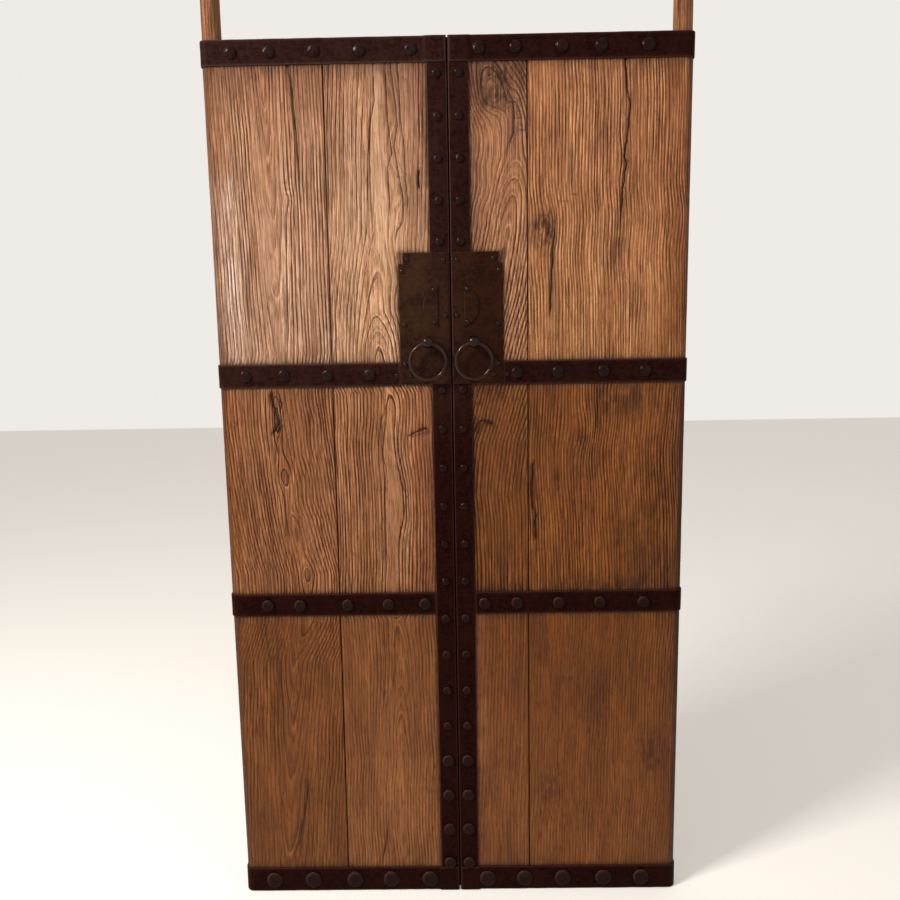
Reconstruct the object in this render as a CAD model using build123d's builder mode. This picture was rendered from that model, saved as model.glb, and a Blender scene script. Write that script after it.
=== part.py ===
from build123d import *

import os
from math import cos, pi, sqrt
from types import SimpleNamespace

# A pair of iron-bound plank door leaves that turn on wooden pivots.
# X runs across the pair, Z is up, and the face with the ring pulls looks toward -Y.
# The origin is on the floor, under the middle of the pair. All sizes are in millimetres.
# A place on a leaf is given by u, its distance in from the leaf's outer edge, and its height.

# Leaves
leaf_height = 2000
leaf_width = 528
meeting_gap = 3
plank_thickness = 46
edge_rounding = 16
pivot_diameter = 42
pivot_length = 120
pivot_chamfer = 4
pivot_shoulder = 1

# Joint between the two planks of a leaf, from the outer edge, at the head and at the foot
left_joint_head = 262
left_joint_foot = 253
right_joint_head = 358
right_joint_foot = 358
joint_gap = 2
tongue_thickness = 10
tongue_width = 14
tongue_end_margin = 40
tongue_clearance = 0.2

# Battens across the back, one behind each strap
batten_height = 72
batten_thickness = 24
batten_chamfer = 5
batten_outer_margin = 48
batten_inner_margin = 50
batten_end_margin = 6

# Flat straps across the front
iron_thickness = 3
strap_height = 54
foot_strap_height = 62
lock_strap_level = 1253
lower_strap_level = 713
strap_return = 38
strap_end_gap = 1
strap_edge_inset = 2

# Angle folded round the meeting edge
flange_width = 44
fold_rounding = 2.5

# Studs: their heads are hammered to eight flat sides and their shanks are square. Those of the
# straps go right through the leaf and are turned over on the battens, those of the angle end in
# the wood. Heads and crowns are measured across their flats.
strap_stud_head = 31
strap_stud_crown = 14
strap_stud_rise = 6.5
foot_stud_head = 35
foot_stud_crown = 27
foot_stud_rise = 3.5
edge_stud_head = 22
edge_stud_crown = 10
edge_stud_rise = 6
stud_shank = 6
edge_stud_depth = 36
shank_clearance = 0.1
tail_thickness = 2.5
tail_length = 20
stud_outer_margin = 62
stud_edge_gap = 1.5
low_edge_stud_count = 14
high_edge_stud_count = 5
edge_stud_low_gap = 2
edge_stud_high_gap = 11.5

# Lock plate and the half-moon riveted on it
plate_width = 112
plate_height = 292
plate_level = 1256
plate_inset = 2.5
notch_width = 10
notch_height = 24
joggle_clearance = 0.5
moon_inset = 28
moon_width = 32
moon_height = 91
moon_level = 1385
moon_thickness = 3

# Small nails of the plate, with four-sided heads
nail_head = 10
nail_crown = 4
nail_rise = 3.5
nail_shank = 3
nail_depth = 24
strap_nail_inset = 7
moon_nail_inset = 7.5
moon_nail_end = 10

# Ring pull on its forged eye; the ring is beaten round in short flats from an eight-sided bar
ring_radius = 39.5
ring_flat_count = 32
ring_bar = 8
eye_hole_radius = 9
eye_wall = 4.5
eye_width = 20
eye_level = 1351
eye_plate_gap = 2.5
ring_seat_gap = 0.15
eye_shank_width = 7
eye_shank_height = 9
leg_thickness = 4
leg_length = 32
left_ring_inset = 51.5
right_ring_inset = 48

# Bent nail beside the meeting edge
bent_nail_side = 3.4
bent_nail_depth = 18

# Worked out from the sizes above
plate_face_rise = 2 * iron_thickness
eye_outer_radius = eye_hole_radius + eye_wall
eye_out = plate_face_rise + eye_plate_gap + eye_outer_radius
front_reach = eye_out + eye_outer_radius
back_reach = batten_thickness + tail_thickness
overall_depth = front_reach + plank_thickness + back_reach
wood_front = front_reach - overall_depth / 2
wood_back = wood_front + plank_thickness
wood_middle = (wood_front + wood_back) / 2
outer_edge = meeting_gap / 2 + leaf_width
wood_width = leaf_width - iron_thickness
flange_start = leaf_width - flange_width
plate_start = leaf_width - plate_inset - plate_width
plate_head = plate_level + plate_height
lap_start = flange_start - joggle_clearance - iron_thickness
head_strap_level = leaf_height - strap_height
strap_nail_u = plate_start - strap_end_gap - strap_nail_inset
ring_bar_corner = ring_bar / 2 / cos(pi / 8)
ring_bevel = ring_bar / (2 + sqrt(2))

# Each strap: height of its lower edge, its own height, and whether it laps over the angle
straps = {
    "head": SimpleNamespace(level=head_strap_level, height=strap_height, laps=True),
    "lock": SimpleNamespace(level=lock_strap_level, height=strap_height, laps=False),
    "lower": SimpleNamespace(level=lower_strap_level, height=strap_height, laps=False),
    "foot": SimpleNamespace(level=0, height=foot_strap_height, laps=True),
}

# Each leaf: its side of the middle, its plank joint, its ring, and where the studs of each
# strap stand, as shares of that strap's stud run, from the outer edge.
# The bent nail's route gives distances from the meeting edge, heights and distances out.
leaves = [
    SimpleNamespace(
        name="left",
        side=-1,
        joint_head=left_joint_head,
        joint_foot=left_joint_foot,
        ring_inset=left_ring_inset,
        stud_shares={
            "head": (0.01, 0.215, 0.455, 0.70, 0.975),
            "lock": (0.0, 0.27, 0.58, 0.875),
            "lower": (0.065, 0.255, 0.535, 0.775, 0.99),
            "foot": (0.02, 0.26, 0.52, 0.745, 0.985),
        },
        nail_route=((62, 1156, 6), (80, 1150, 5), (99, 1140, 2)),
    ),
    SimpleNamespace(
        name="right",
        side=1,
        joint_head=right_joint_head,
        joint_foot=right_joint_foot,
        ring_inset=right_ring_inset,
        stud_shares={
            "head": (0.095, 0.345, 0.555, 0.805, 1.0),
            "lock": (0.10, 0.39, 0.71, 1.0),
            "lower": (0.07, 0.325, 0.565, 0.81, 1.0),
            "foot": (0.055, 0.285, 0.535, 0.77, 1.0),
        },
        nail_route=((88, 1165, 7), (76, 1170, 7), (62, 1172, 5), (50, 1146, 3)),
    ),
]

# Plate nails as shares of the plate's width and height, from its inner lower corner
plate_nail_shares = (
    (0.10, 0.94),
    (0.82, 0.95),
    (0.925, 0.863),
    (0.08, 0.525),
    (0.90, 0.46),
    (0.90, 0.157),
    (0.80, 0.072),
)


def x_at(leaf, u):
    """X of a place that lies u in from the leaf's outer edge."""
    return leaf.side * (outer_edge - u)


def elevation(y):
    """Upright sketch plane at depth y, facing the front."""
    return Plane.XZ.offset(-y)


def spread(first, last, count):
    """Even places from first to last."""
    return [first + (last - first) * i / (count - 1) for i in range(count)]


def strap_stud_places(leaf, name):
    """X and Z of the studs of one strap."""
    strap = straps[name]
    if name == "lock":
        run_end = strap_nail_u - nail_head / 2 - strap_stud_head / 2 - stud_edge_gap
    else:
        run_end = lap_start - max(strap_stud_head, foot_stud_head) / 2 - stud_edge_gap
    run = run_end - stud_outer_margin
    middle = strap.level + strap.height / 2
    return [(x_at(leaf, stud_outer_margin + share * run), middle) for share in leaf.stud_shares[name]]


def edge_stud_places(leaf):
    """X and Z of the studs down the angle, below and above the lock plate."""
    low = edge_stud_head / 2 + edge_stud_low_gap
    high = edge_stud_head / 2 + edge_stud_high_gap
    heights = spread(foot_strap_height + low, plate_level - low, low_edge_stud_count)
    heights += spread(plate_head + high, head_strap_level - high, high_edge_stud_count)
    return [(x_at(leaf, leaf_width - flange_width / 2), height) for height in heights]


def plate_nail_places(leaf):
    """X, the face that the head sits on, and Z of the small nails of plate, strap and moon."""
    places = []
    for across, up in plate_nail_shares:
        inset = plate_inset + across * plate_width
        rise = plate_face_rise if inset < flange_width else iron_thickness
        places.append((x_at(leaf, leaf_width - inset), wood_front - rise, plate_level + up * plate_height))
    strap_nail_z = plate_level + plate_nail_shares[-1][1] * plate_height
    places.append((x_at(leaf, strap_nail_u), wood_front - iron_thickness, strap_nail_z))
    moon_u = leaf_width - moon_inset - moon_nail_inset
    moon_face = wood_front - plate_face_rise - moon_thickness
    for height in (moon_level + moon_nail_end, moon_level + moon_height - moon_nail_end):
        places.append((x_at(leaf, moon_u), moon_face, height))
    return places


def cut_square_holes(piece, places, width, height, back):
    """Take square holes that start far in front and end at depth back out of a piece."""
    box = piece.part.bounding_box()
    reached = []
    for x, z in places:
        beside = box.min.X - width < x < box.max.X + width
        if beside and box.min.Z - height < z < box.max.Z + height:
            reached.append((x, back, z))
    if reached:
        with Locations(*reached):
            centred_in_front = (Align.CENTER, Align.MAX, Align.CENTER)
            Box(width, 2 * overall_depth, height, align=centred_in_front, mode=Mode.SUBTRACT)


def cut_nail_holes(piece, leaf):
    """Take the holes of the leaf's studs, nails and eye out of a piece that they pass."""
    hole = stud_shank + 2 * shank_clearance
    for name in straps:
        cut_square_holes(piece, strap_stud_places(leaf, name), hole, hole, overall_depth)
    cut_square_holes(piece, edge_stud_places(leaf), hole, hole, wood_front + edge_stud_depth)
    nails = [(x, z) for x, _, z in plate_nail_places(leaf)]
    nail_hole = nail_shank + 2 * shank_clearance
    cut_square_holes(piece, nails, nail_hole, nail_hole, wood_front + nail_depth)
    eye_place = (x_at(leaf, leaf_width - leaf.ring_inset), eye_level)
    eye_hole_width = eye_shank_width + 2 * shank_clearance
    eye_hole_height = eye_shank_height + 2 * shank_clearance
    cut_square_holes(piece, [eye_place], eye_hole_width, eye_hole_height, overall_depth)
    inset, height, _ = leaf.nail_route[0]
    bent_hole = bent_nail_side + 2 * shank_clearance
    bent_place = (x_at(leaf, leaf_width - inset), height)
    cut_square_holes(piece, [bent_place], bent_hole, bent_hole, wood_front + bent_nail_depth)


def joint_u(leaf, height):
    """Distance of the plank joint from the outer edge at a height."""
    return leaf.joint_foot + (leaf.joint_head - leaf.joint_foot) * height / leaf_height


def tongue_outline(leaf, half_width, low, high):
    """Corners of a band that follows the plank joint."""
    corners = [(-1, low), (1, low), (1, high), (-1, high)]
    return [(x_at(leaf, joint_u(leaf, z) + sign * half_width), z) for sign, z in corners]


def groove(leaf):
    """Solid that both planks lose for the loose tongue."""
    half_width = tongue_width / 2 + tongue_clearance
    low = tongue_end_margin - tongue_clearance
    high = leaf_height - tongue_end_margin + tongue_clearance
    with BuildPart() as space:
        with BuildSketch(elevation(wood_middle)):
            Polygon(*tongue_outline(leaf, half_width, low, high))
        extrude(amount=tongue_thickness / 2 + tongue_clearance, both=True)
    return space.part


def make_stile_plank(leaf):
    """Outer plank with a rounded outer edge; its pivot is carved from the same timber."""
    tongue_groove = groove(leaf)
    with BuildPart() as plank:
        with BuildSketch(elevation(wood_back)):
            Polygon(
                (x_at(leaf, 0), 0),
                (x_at(leaf, 0), leaf_height),
                (x_at(leaf, leaf.joint_head - joint_gap / 2), leaf_height),
                (x_at(leaf, leaf.joint_foot - joint_gap / 2), 0),
            )
        extrude(amount=plank_thickness)
        outer = plank.edges().filter_by(Axis.Z).sort_by(lambda edge: abs(edge.center().X))[-2:]
        fillet(outer, edge_rounding)
        with BuildSketch(Plane.XY.offset(leaf_height)):
            with Locations((x_at(leaf, pivot_shoulder + pivot_diameter / 2), wood_middle)):
                Circle(pivot_diameter / 2)
        extrude(amount=pivot_length)
        chamfer(plank.faces().sort_by(Axis.Z)[-1].edges(), pivot_chamfer)
        add(tongue_groove, mode=Mode.SUBTRACT)
        cut_nail_holes(plank, leaf)
    return plank


def make_meeting_plank(leaf):
    """Inner plank, between the joint and the angle of the meeting edge."""
    tongue_groove = groove(leaf)
    with BuildPart() as plank:
        with BuildSketch(elevation(wood_back)):
            Polygon(
                (x_at(leaf, leaf.joint_foot + joint_gap / 2), 0),
                (x_at(leaf, leaf.joint_head + joint_gap / 2), leaf_height),
                (x_at(leaf, wood_width), leaf_height),
                (x_at(leaf, wood_width), 0),
            )
        extrude(amount=plank_thickness)
        add(tongue_groove, mode=Mode.SUBTRACT)
        cut_nail_holes(plank, leaf)
    return plank


def make_tongue(leaf):
    """Loose tongue that lies in the grooves of both planks."""
    head = leaf_height - tongue_end_margin
    with BuildPart() as tongue:
        with BuildSketch(elevation(wood_middle)):
            Polygon(*tongue_outline(leaf, tongue_width / 2, tongue_end_margin, head))
        extrude(amount=tongue_thickness / 2, both=True)
        cut_nail_holes(tongue, leaf)
    return tongue


def make_batten(leaf, name):
    """Batten across the back, centred on its strap where the leaf's ends leave room."""
    strap = straps[name]
    room = batten_height / 2 + batten_end_margin
    middle = min(max(strap.level + strap.height / 2, room), leaf_height - room)
    start = batten_outer_margin
    end = leaf_width - batten_inner_margin
    with BuildPart() as batten:
        with BuildSketch(elevation(wood_back)):
            with Locations((x_at(leaf, (start + end) / 2), middle)):
                Rectangle(end - start, batten_height)
        extrude(amount=-batten_thickness)
        chamfer(batten.faces().sort_by(Axis.Y)[-1].edges(), batten_chamfer)
        cut_nail_holes(batten, leaf)
    return batten


def make_strap(leaf, name):
    """Flat strap along the front, wrapped round the outer edge with a return on the back."""
    strap = straps[name]
    past_edge = leaf_width + 2 * edge_rounding
    tall = 2 * overall_depth
    if strap.laps:
        end = flange_start - joggle_clearance
    elif name == "lock":
        end = plate_start - strap_end_gap
    else:
        end = flange_start - strap_end_gap
    with BuildPart() as bar:
        with BuildSketch(Plane.XY.offset(strap.level)):
            with Locations((x_at(leaf, past_edge / 2), wood_middle)):
                width = past_edge + 2 * iron_thickness
                depth = plank_thickness + 2 * iron_thickness
                RectangleRounded(width, depth, edge_rounding + iron_thickness)
                RectangleRounded(past_edge, plank_thickness, edge_rounding, mode=Mode.SUBTRACT)
            with Locations((x_at(leaf, end + past_edge), wood_middle)):
                Rectangle(2 * past_edge, tall, mode=Mode.SUBTRACT)
            with Locations((x_at(leaf, strap_return + past_edge), wood_middle + tall / 2)):
                Rectangle(2 * past_edge, tall, mode=Mode.SUBTRACT)
            if strap.laps:
                lap_end = leaf_width - strap_edge_inset
                with Locations((x_at(leaf, (lap_start + lap_end) / 2), wood_front - 1.5 * iron_thickness)):
                    Rectangle(lap_end - lap_start, iron_thickness)
        extrude(amount=strap.height)
        cut_nail_holes(bar, leaf)
    return bar


def make_edge_angle(leaf):
    """Angle folded round the meeting edge, from head to foot."""
    with BuildPart() as angle:
        with BuildSketch(elevation(wood_back)):
            with Locations((x_at(leaf, leaf_width - flange_width / 2), leaf_height / 2)):
                Rectangle(flange_width, leaf_height)
        extrude(amount=plank_thickness + iron_thickness)
        fold = angle.faces().sort_by(Axis.Y)[0].edges().sort_by(lambda edge: abs(edge.center().X))[0]
        fillet(fold, fold_rounding)
        with BuildSketch(elevation(wood_back)):
            with Locations((x_at(leaf, wood_width - flange_width / 2), leaf_height / 2)):
                Rectangle(flange_width, leaf_height)
        extrude(amount=plank_thickness, mode=Mode.SUBTRACT)
        cut_nail_holes(angle, leaf)
    return angle


def make_lock_plate(leaf):
    """Sheet with a notched outer corner, set down over the angle's flange."""
    plate_end = leaf_width - plate_inset
    with BuildPart() as plate:
        with BuildSketch(elevation(wood_front)):
            Polygon(
                (x_at(leaf, plate_end), plate_level),
                (x_at(leaf, plate_end), plate_head),
                (x_at(leaf, plate_start + notch_width), plate_head),
                (x_at(leaf, plate_start + notch_width), plate_head - notch_height),
                (x_at(leaf, plate_start), plate_head - notch_height),
                (x_at(leaf, plate_start), plate_level),
            )
        extrude(amount=iron_thickness)
        with BuildSketch(elevation(wood_front)):
            with Locations((x_at(leaf, (lap_start + plate_end) / 2), plate_level + plate_height / 2)):
                Rectangle(plate_end - lap_start, plate_height)
        extrude(amount=plate_face_rise)
        with BuildSketch(elevation(wood_front)):
            flange_clear = flange_start - joggle_clearance
            with Locations((x_at(leaf, flange_clear + flange_width), plate_level + plate_height / 2)):
                Rectangle(2 * flange_width, plate_height)
        extrude(amount=iron_thickness, mode=Mode.SUBTRACT)
        cut_nail_holes(plate, leaf)
    return plate


def make_half_moon(leaf):
    """Half-moon plate, flat in front; its back steps down with the lock plate."""
    chord_x = x_at(leaf, leaf_width - moon_inset)
    bulge_x = x_at(leaf, leaf_width - moon_inset - moon_width)
    moon_head = moon_level + moon_height
    with BuildPart() as moon:
        with BuildSketch(elevation(wood_front - iron_thickness)):
            with BuildLine():
                ThreePointArc(
                    (chord_x, moon_level),
                    (bulge_x, moon_level + moon_height / 2),
                    (chord_x, moon_head),
                )
                Line((chord_x, moon_head), (chord_x, moon_level))
            make_face()
        extrude(amount=iron_thickness + moon_thickness)
        with BuildSketch(elevation(wood_front - iron_thickness)):
            with Locations((x_at(leaf, lap_start + flange_width), moon_level + moon_height / 2)):
                Rectangle(2 * flange_width, 2 * moon_height)
        extrude(amount=iron_thickness, mode=Mode.SUBTRACT)
        cut_nail_holes(moon, leaf)
    return moon


def make_stud(turns, head, crown, head_rise, shank, shank_length):
    """Stud with its forged head in front of y = 0 and its square shank behind.

    Each turn of the head under the hammer flattens four of its sides.
    """
    inset = (head - crown) / 2
    with BuildPart() as stud:
        for turn in range(turns):
            Wedge(
                head,
                head_rise,
                head,
                inset,
                inset,
                head - inset,
                head - inset,
                rotation=(180, 45 * turn, 0),
                align=(Align.CENTER, Align.MIN, Align.CENTER),
                mode=Mode.INTERSECT if turn else Mode.ADD,
            )
        with Locations((0, shank_length / 2, 0)):
            Box(shank, shank_length, shank)
    return stud.part


def make_strap_studs(leaf):
    """Studs of all four straps; each shank is turned over on its batten."""
    length = iron_thickness + plank_thickness + batten_thickness
    dome = make_stud(2, strap_stud_head, strap_stud_crown, strap_stud_rise, stud_shank, length)
    disc = make_stud(2, foot_stud_head, foot_stud_crown, foot_stud_rise, stud_shank, length)
    face = wood_front - iron_thickness
    batten_back = wood_back + batten_thickness
    with BuildPart() as studs:
        for name in straps:
            places = strap_stud_places(leaf, name)
            with Locations(*[(x, face, z) for x, z in places]):
                add(disc if name == "foot" else dome)
            with Locations(*[(x, batten_back, z + stud_shank / 2) for x, z in places]):
                Box(stud_shank, tail_thickness, tail_length, align=(Align.CENTER, Align.MIN, Align.MAX))
    return studs


def make_edge_studs(leaf):
    """Studs of the angle, driven into the wood."""
    length = iron_thickness + edge_stud_depth
    stud = make_stud(2, edge_stud_head, edge_stud_crown, edge_stud_rise, stud_shank, length)
    with BuildPart() as studs:
        with Locations(*[(x, wood_front - iron_thickness, z) for x, z in edge_stud_places(leaf)]):
            add(stud)
    return studs


def make_plate_nails(leaf):
    """Small nails of the lock plate, the strap's end and the half-moon."""
    with BuildPart() as nails:
        for x, face, z in plate_nail_places(leaf):
            with Locations((x, face, z)):
                length = wood_front + nail_depth - face
                add(make_stud(1, nail_head, nail_crown, nail_rise, nail_shank, length))
    return nails


def make_eye(leaf):
    """Eye forged from a flat bar; its two legs pass the leaf and are spread on the back."""
    x = x_at(leaf, leaf_width - leaf.ring_inset)
    eye_y = wood_front - eye_out
    shank_start = eye_y + eye_hole_radius + eye_wall / 2
    leg_back = wood_back + leg_thickness
    with BuildPart() as eye:
        with BuildSketch(Plane.YZ.offset(x)):
            with Locations((eye_y, eye_level)):
                Circle(eye_outer_radius)
                Circle(eye_hole_radius, mode=Mode.SUBTRACT)
        extrude(amount=eye_width / 2, both=True)
        with Locations((x, shank_start, eye_level)):
            Box(
                eye_shank_width,
                leg_back - shank_start,
                eye_shank_height,
                align=(Align.CENTER, Align.MIN, Align.CENTER),
            )
        with Locations((x, wood_back, eye_level)):
            Box(
                eye_shank_width,
                leg_thickness,
                2 * leg_length,
                align=(Align.CENTER, Align.MIN, Align.CENTER),
            )
    return eye


def ring_axis_level():
    """Height of the ring bar's centre where the ring rests in the eye."""
    sag_in_eye = ring_radius - sqrt(ring_radius**2 - (eye_width / 2) ** 2)
    return eye_level - (eye_hole_radius - ring_bar_corner - sag_in_eye - ring_seat_gap)


def make_ring(leaf):
    """Plain ring that hangs in the eye, square in section and then bevelled to eight sides."""
    x = x_at(leaf, leaf_width - leaf.ring_inset)
    outside = ring_radius + ring_bar / 2
    inside = ring_radius - ring_bar / 2
    with BuildPart() as ring:
        with BuildSketch(elevation(wood_front - eye_out)):
            with Locations((x, ring_axis_level() - ring_radius)):
                RegularPolygon(outside, ring_flat_count, major_radius=False)
                RegularPolygon(inside, ring_flat_count, major_radius=False, mode=Mode.SUBTRACT)
        extrude(amount=ring_bar / 2, both=True)
        faces = ring.faces().sort_by(Axis.Y)
        chamfer(faces[0].edges() + faces[-1].edges(), ring_bevel)
    return ring


def make_bent_nail(leaf):
    """Old nail beside the meeting edge, knocked over along the wood."""
    inset, height, _ = leaf.nail_route[0]
    route = [(x_at(leaf, leaf_width - inset), wood_front + bent_nail_depth, height)]
    for inset, height, out in leaf.nail_route:
        route.append((x_at(leaf, leaf_width - inset), wood_front - out, height))
    with BuildPart() as nail:
        with BuildLine() as path:
            Polyline(*route)
        with BuildSketch(Plane(origin=route[0], x_dir=(1, 0, 0), z_dir=(0, -1, 0))):
            Rectangle(bent_nail_side, bent_nail_side)
        sweep(path=path.line, transition=Transition.RIGHT)
    return nail


def save(piece, name):
    """Label a finished piece and write it out."""
    piece.part.label = name
    export_step(piece.part, f"parts/{name}.step")


os.makedirs("parts", exist_ok=True)

for leaf in leaves:
    save(make_stile_plank(leaf), f"{leaf.name}_stile_plank")
    save(make_meeting_plank(leaf), f"{leaf.name}_meeting_plank")
    save(make_tongue(leaf), f"{leaf.name}_loose_tongue")
    for strap_name in straps:
        save(make_batten(leaf, strap_name), f"{leaf.name}_batten_{strap_name}")
        save(make_strap(leaf, strap_name), f"{leaf.name}_strap_{strap_name}")
    save(make_edge_angle(leaf), f"{leaf.name}_edge_angle")
    save(make_lock_plate(leaf), f"{leaf.name}_lock_plate")
    save(make_half_moon(leaf), f"{leaf.name}_half_moon")
    save(make_strap_studs(leaf), f"{leaf.name}_strap_studs")
    save(make_edge_studs(leaf), f"{leaf.name}_edge_studs")
    save(make_plate_nails(leaf), f"{leaf.name}_plate_nails")
    save(make_eye(leaf), f"{leaf.name}_ring_eye")
    save(make_ring(leaf), f"{leaf.name}_ring")
    save(make_bent_nail(leaf), f"{leaf.name}_bent_nail")
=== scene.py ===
import math
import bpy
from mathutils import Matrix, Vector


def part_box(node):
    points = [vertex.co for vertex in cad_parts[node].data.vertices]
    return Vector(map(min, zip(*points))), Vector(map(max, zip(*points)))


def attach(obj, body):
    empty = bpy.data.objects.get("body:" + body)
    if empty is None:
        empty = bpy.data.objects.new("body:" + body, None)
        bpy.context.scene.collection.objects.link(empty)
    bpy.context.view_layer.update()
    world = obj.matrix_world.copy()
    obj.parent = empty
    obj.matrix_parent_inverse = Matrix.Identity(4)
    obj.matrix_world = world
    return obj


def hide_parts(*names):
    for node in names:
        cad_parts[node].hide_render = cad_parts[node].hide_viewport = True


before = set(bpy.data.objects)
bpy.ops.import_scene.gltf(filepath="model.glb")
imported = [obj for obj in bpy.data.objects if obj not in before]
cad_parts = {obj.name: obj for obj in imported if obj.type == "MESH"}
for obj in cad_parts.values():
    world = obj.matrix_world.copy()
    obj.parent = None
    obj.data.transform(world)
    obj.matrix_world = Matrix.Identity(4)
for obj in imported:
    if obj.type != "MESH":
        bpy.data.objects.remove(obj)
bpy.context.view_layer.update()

from types import SimpleNamespace as NS

import bpy
import numpy as np
from mathutils import Matrix, Vector

# Lengths below are in millimetres, in the frame of the model: X across, -Y to the front, Z up.
MM = 0.001

# Levels and edges that the pieces share
WOOD_FRONT = -18.5
WOOD_BACK = 27.5
WOOD_DEPTH = WOOD_BACK - WOOD_FRONT
LEAF_HEIGHT = 2000.0
OUTER = 529.5
EDGE_ROUNDING = 16.0
ARRIS = 1.6
IRON = 3.0
IRON_FRONT = WOOD_FRONT - IRON
MOON_FRONT = IRON_FRONT - 2 * IRON
BATTEN_BACK = WOOD_BACK + 24.0
EYE_LEVEL = 1351.0

# Distances from the meeting line: the folded leg's face, the wood behind it, the flange's end, where
# straps step over the flange, and where the lock plate reaches the wood and ends
EDGE_FACE = 1.5
WOOD_INNER = EDGE_FACE + IRON
FLANGE_END = 45.5
JOGGLE = 49.5
PLATE_BEND_END = 98.0
PLATE_OUTER = 116.0

# The lock plate's lower and upper edge, and the notch in its upper corner
PLATE_LOW = 1256.0
PLATE_HIGH = 1548.0
NOTCH_ACROSS = 106.0
NOTCH_LEVEL = 1524.0

# Studs below the first level are flat, and below the second they are also wide
LOW_STUDS = 760.0
WIDE_STUDS = 420.0

# Each strap: the level of its lower edge, its height, and where its inner end lies
STRAPS = {
    "head": (1946.0, 54.0, 3.5),
    "lock": (1253.0, 54.0, 117.0),
    "lower": (713.0, 54.0, 46.5),
    "foot": (0.0, 62.0, 3.5),
}

# The levels where a plank's relief is given, at the ends of its panels between the straps
PANEL_LEVELS = [0, 690, 760, 1240, 1310, 1800, 1950]

# Rows of a plank from the foot up: where a stretch ends and how far apart its rows are
ROW_STRETCHES = [(60, 12.0), (712, 5.4), (766, 13.0), (1256, 4.2), (1303, 12.0), (1948, 3.6), (1999, 13.0)]

# Half the joint between a leaf's planks, and its distance from the outer edge at foot and head
JOINT_HALF = 1.0
LEFT_JOINT = (253.0, 262.0)
RIGHT_JOINT = (358.0, 358.0)

# The gap layer's value where no crack is near
NO_CRACK = 30.0


# Noise
def hashed(i, j, seed):
    v = np.sin(i * 127.1 + j * 311.7 + seed * 74.7) * 43758.5453
    return v - np.floor(v)


def noise(x, y, seed):
    """Smooth noise from -1 to 1 on a unit grid."""
    i, j = np.floor(x), np.floor(y)
    u, v = x - i, y - j
    u, v = u * u * (3 - 2 * u), v * v * (3 - 2 * v)
    low = hashed(i, j, seed) * (1 - u) + hashed(i + 1, j, seed) * u
    high = hashed(i, j + 1, seed) * (1 - u) + hashed(i + 1, j + 1, seed) * u
    return 2 * (low * (1 - v) + high * v) - 1


def fractal(x, y, seed):
    """Three octaves of noise."""
    total, size, scale = 0.0, 1.0, 1.0
    for k in range(3):
        total = total + size * noise(x * scale, y * scale, seed + 13 * k)
        size, scale = size * 0.5, scale * 2.03
    return total


def step(low, high, v):
    t = np.clip((v - low) / (high - low), 0, 1)
    return t * t * (3 - 2 * t)


def bell(x):
    return np.exp(-(x**2))


def srgb(colour):
    """A display colour, 0 to 255, as linear light."""
    c = np.array(colour, float) / 255
    return np.where(c <= 0.04045, c / 12.92, ((c + 0.055) / 1.055) ** 2.4)


def spot(x, z, at_x, at_z, reach_x, reach_z, power=2):
    """Rounded share that is one in the middle and fades over its reach."""
    return np.exp(-(((x - at_x) / reach_x) ** power) - ((z - at_z) / reach_z) ** power)


def circle(count):
    return np.linspace(0, 2 * math.pi, count, endpoint=False)


def places(x, y, z):
    """Points from coordinates that may be single, in a row or in a column."""
    return np.stack(np.broadcast_arrays(x, y, z), -1).reshape(-1, 3)


# Meshes
def volume(v, faces):
    """Six times the volume of a closed mesh, negative where its faces turn inward."""
    total = 0.0
    for size in {len(f) for f in faces}:
        f = v[np.array([g for g in faces if len(g) == size])]
        for k in range(1, size - 1):
            total += np.einsum("ij,ij->", f[:, 0], np.cross(f[:, k], f[:, k + 1]))
    return total


def make_piece(name, points, faces, body, material, node, sharp, layers):
    """Closed mesh from points in millimetres, with its faces outward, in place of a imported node."""
    v = np.asarray(points, float) * MM
    if volume(v, faces) < 0:
        faces = [f[::-1] for f in faces]
    mesh = bpy.data.meshes.new(name)
    mesh.from_pydata(v.tolist(), [], [tuple(int(k) for k in f) for f in faces])
    mesh.shade_smooth()
    mesh.set_sharp_from_angle(angle=math.radians(sharp))
    for key, values in layers.items():
        values = np.asarray(values, np.float32)
        if values.ndim == 2:
            rgba = np.ones((len(values), 4), np.float32)
            rgba[:, :3] = values
            mesh.attributes.new(key, "FLOAT_COLOR", "POINT").data.foreach_set("color", rgba.ravel())
        else:
            mesh.attributes.new(key, "FLOAT", "POINT").data.foreach_set("value", values)
    piece = bpy.data.objects.new(name, mesh)
    bpy.context.scene.collection.objects.link(piece)
    mesh.materials.append(material)
    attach(piece, body)
    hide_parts(node)


def tube_faces(rows, count, close_rows=False):
    """Quads between closed rows of points, with a face on each end unless the rows close."""
    r = np.arange(rows if close_rows else rows - 1)[:, None]
    c = np.arange(count)[None, :]
    here, there = r * count, ((r + 1) % rows) * count
    nxt = (c + 1) % count
    quads = np.stack([here + c, here + nxt, there + nxt, there + c], -1).reshape(-1, 4)
    faces = [tuple(q) for q in quads.tolist()]
    if not close_rows:
        faces.append(tuple(range(count - 1, -1, -1)))
        faces.append(tuple(range((rows - 1) * count, rows * count)))
    return faces


def joined(parts):
    """Several (points, faces, edge) as one."""
    points, faces, edges, base = [], [], [], 0
    for p, f, edge in parts:
        points.append(np.asarray(p, float))
        faces += [tuple(k + base for k in face) for face in f]
        edges.append(edge)
        base += len(p)
    return np.vstack(points), faces, np.concatenate(edges)


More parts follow.
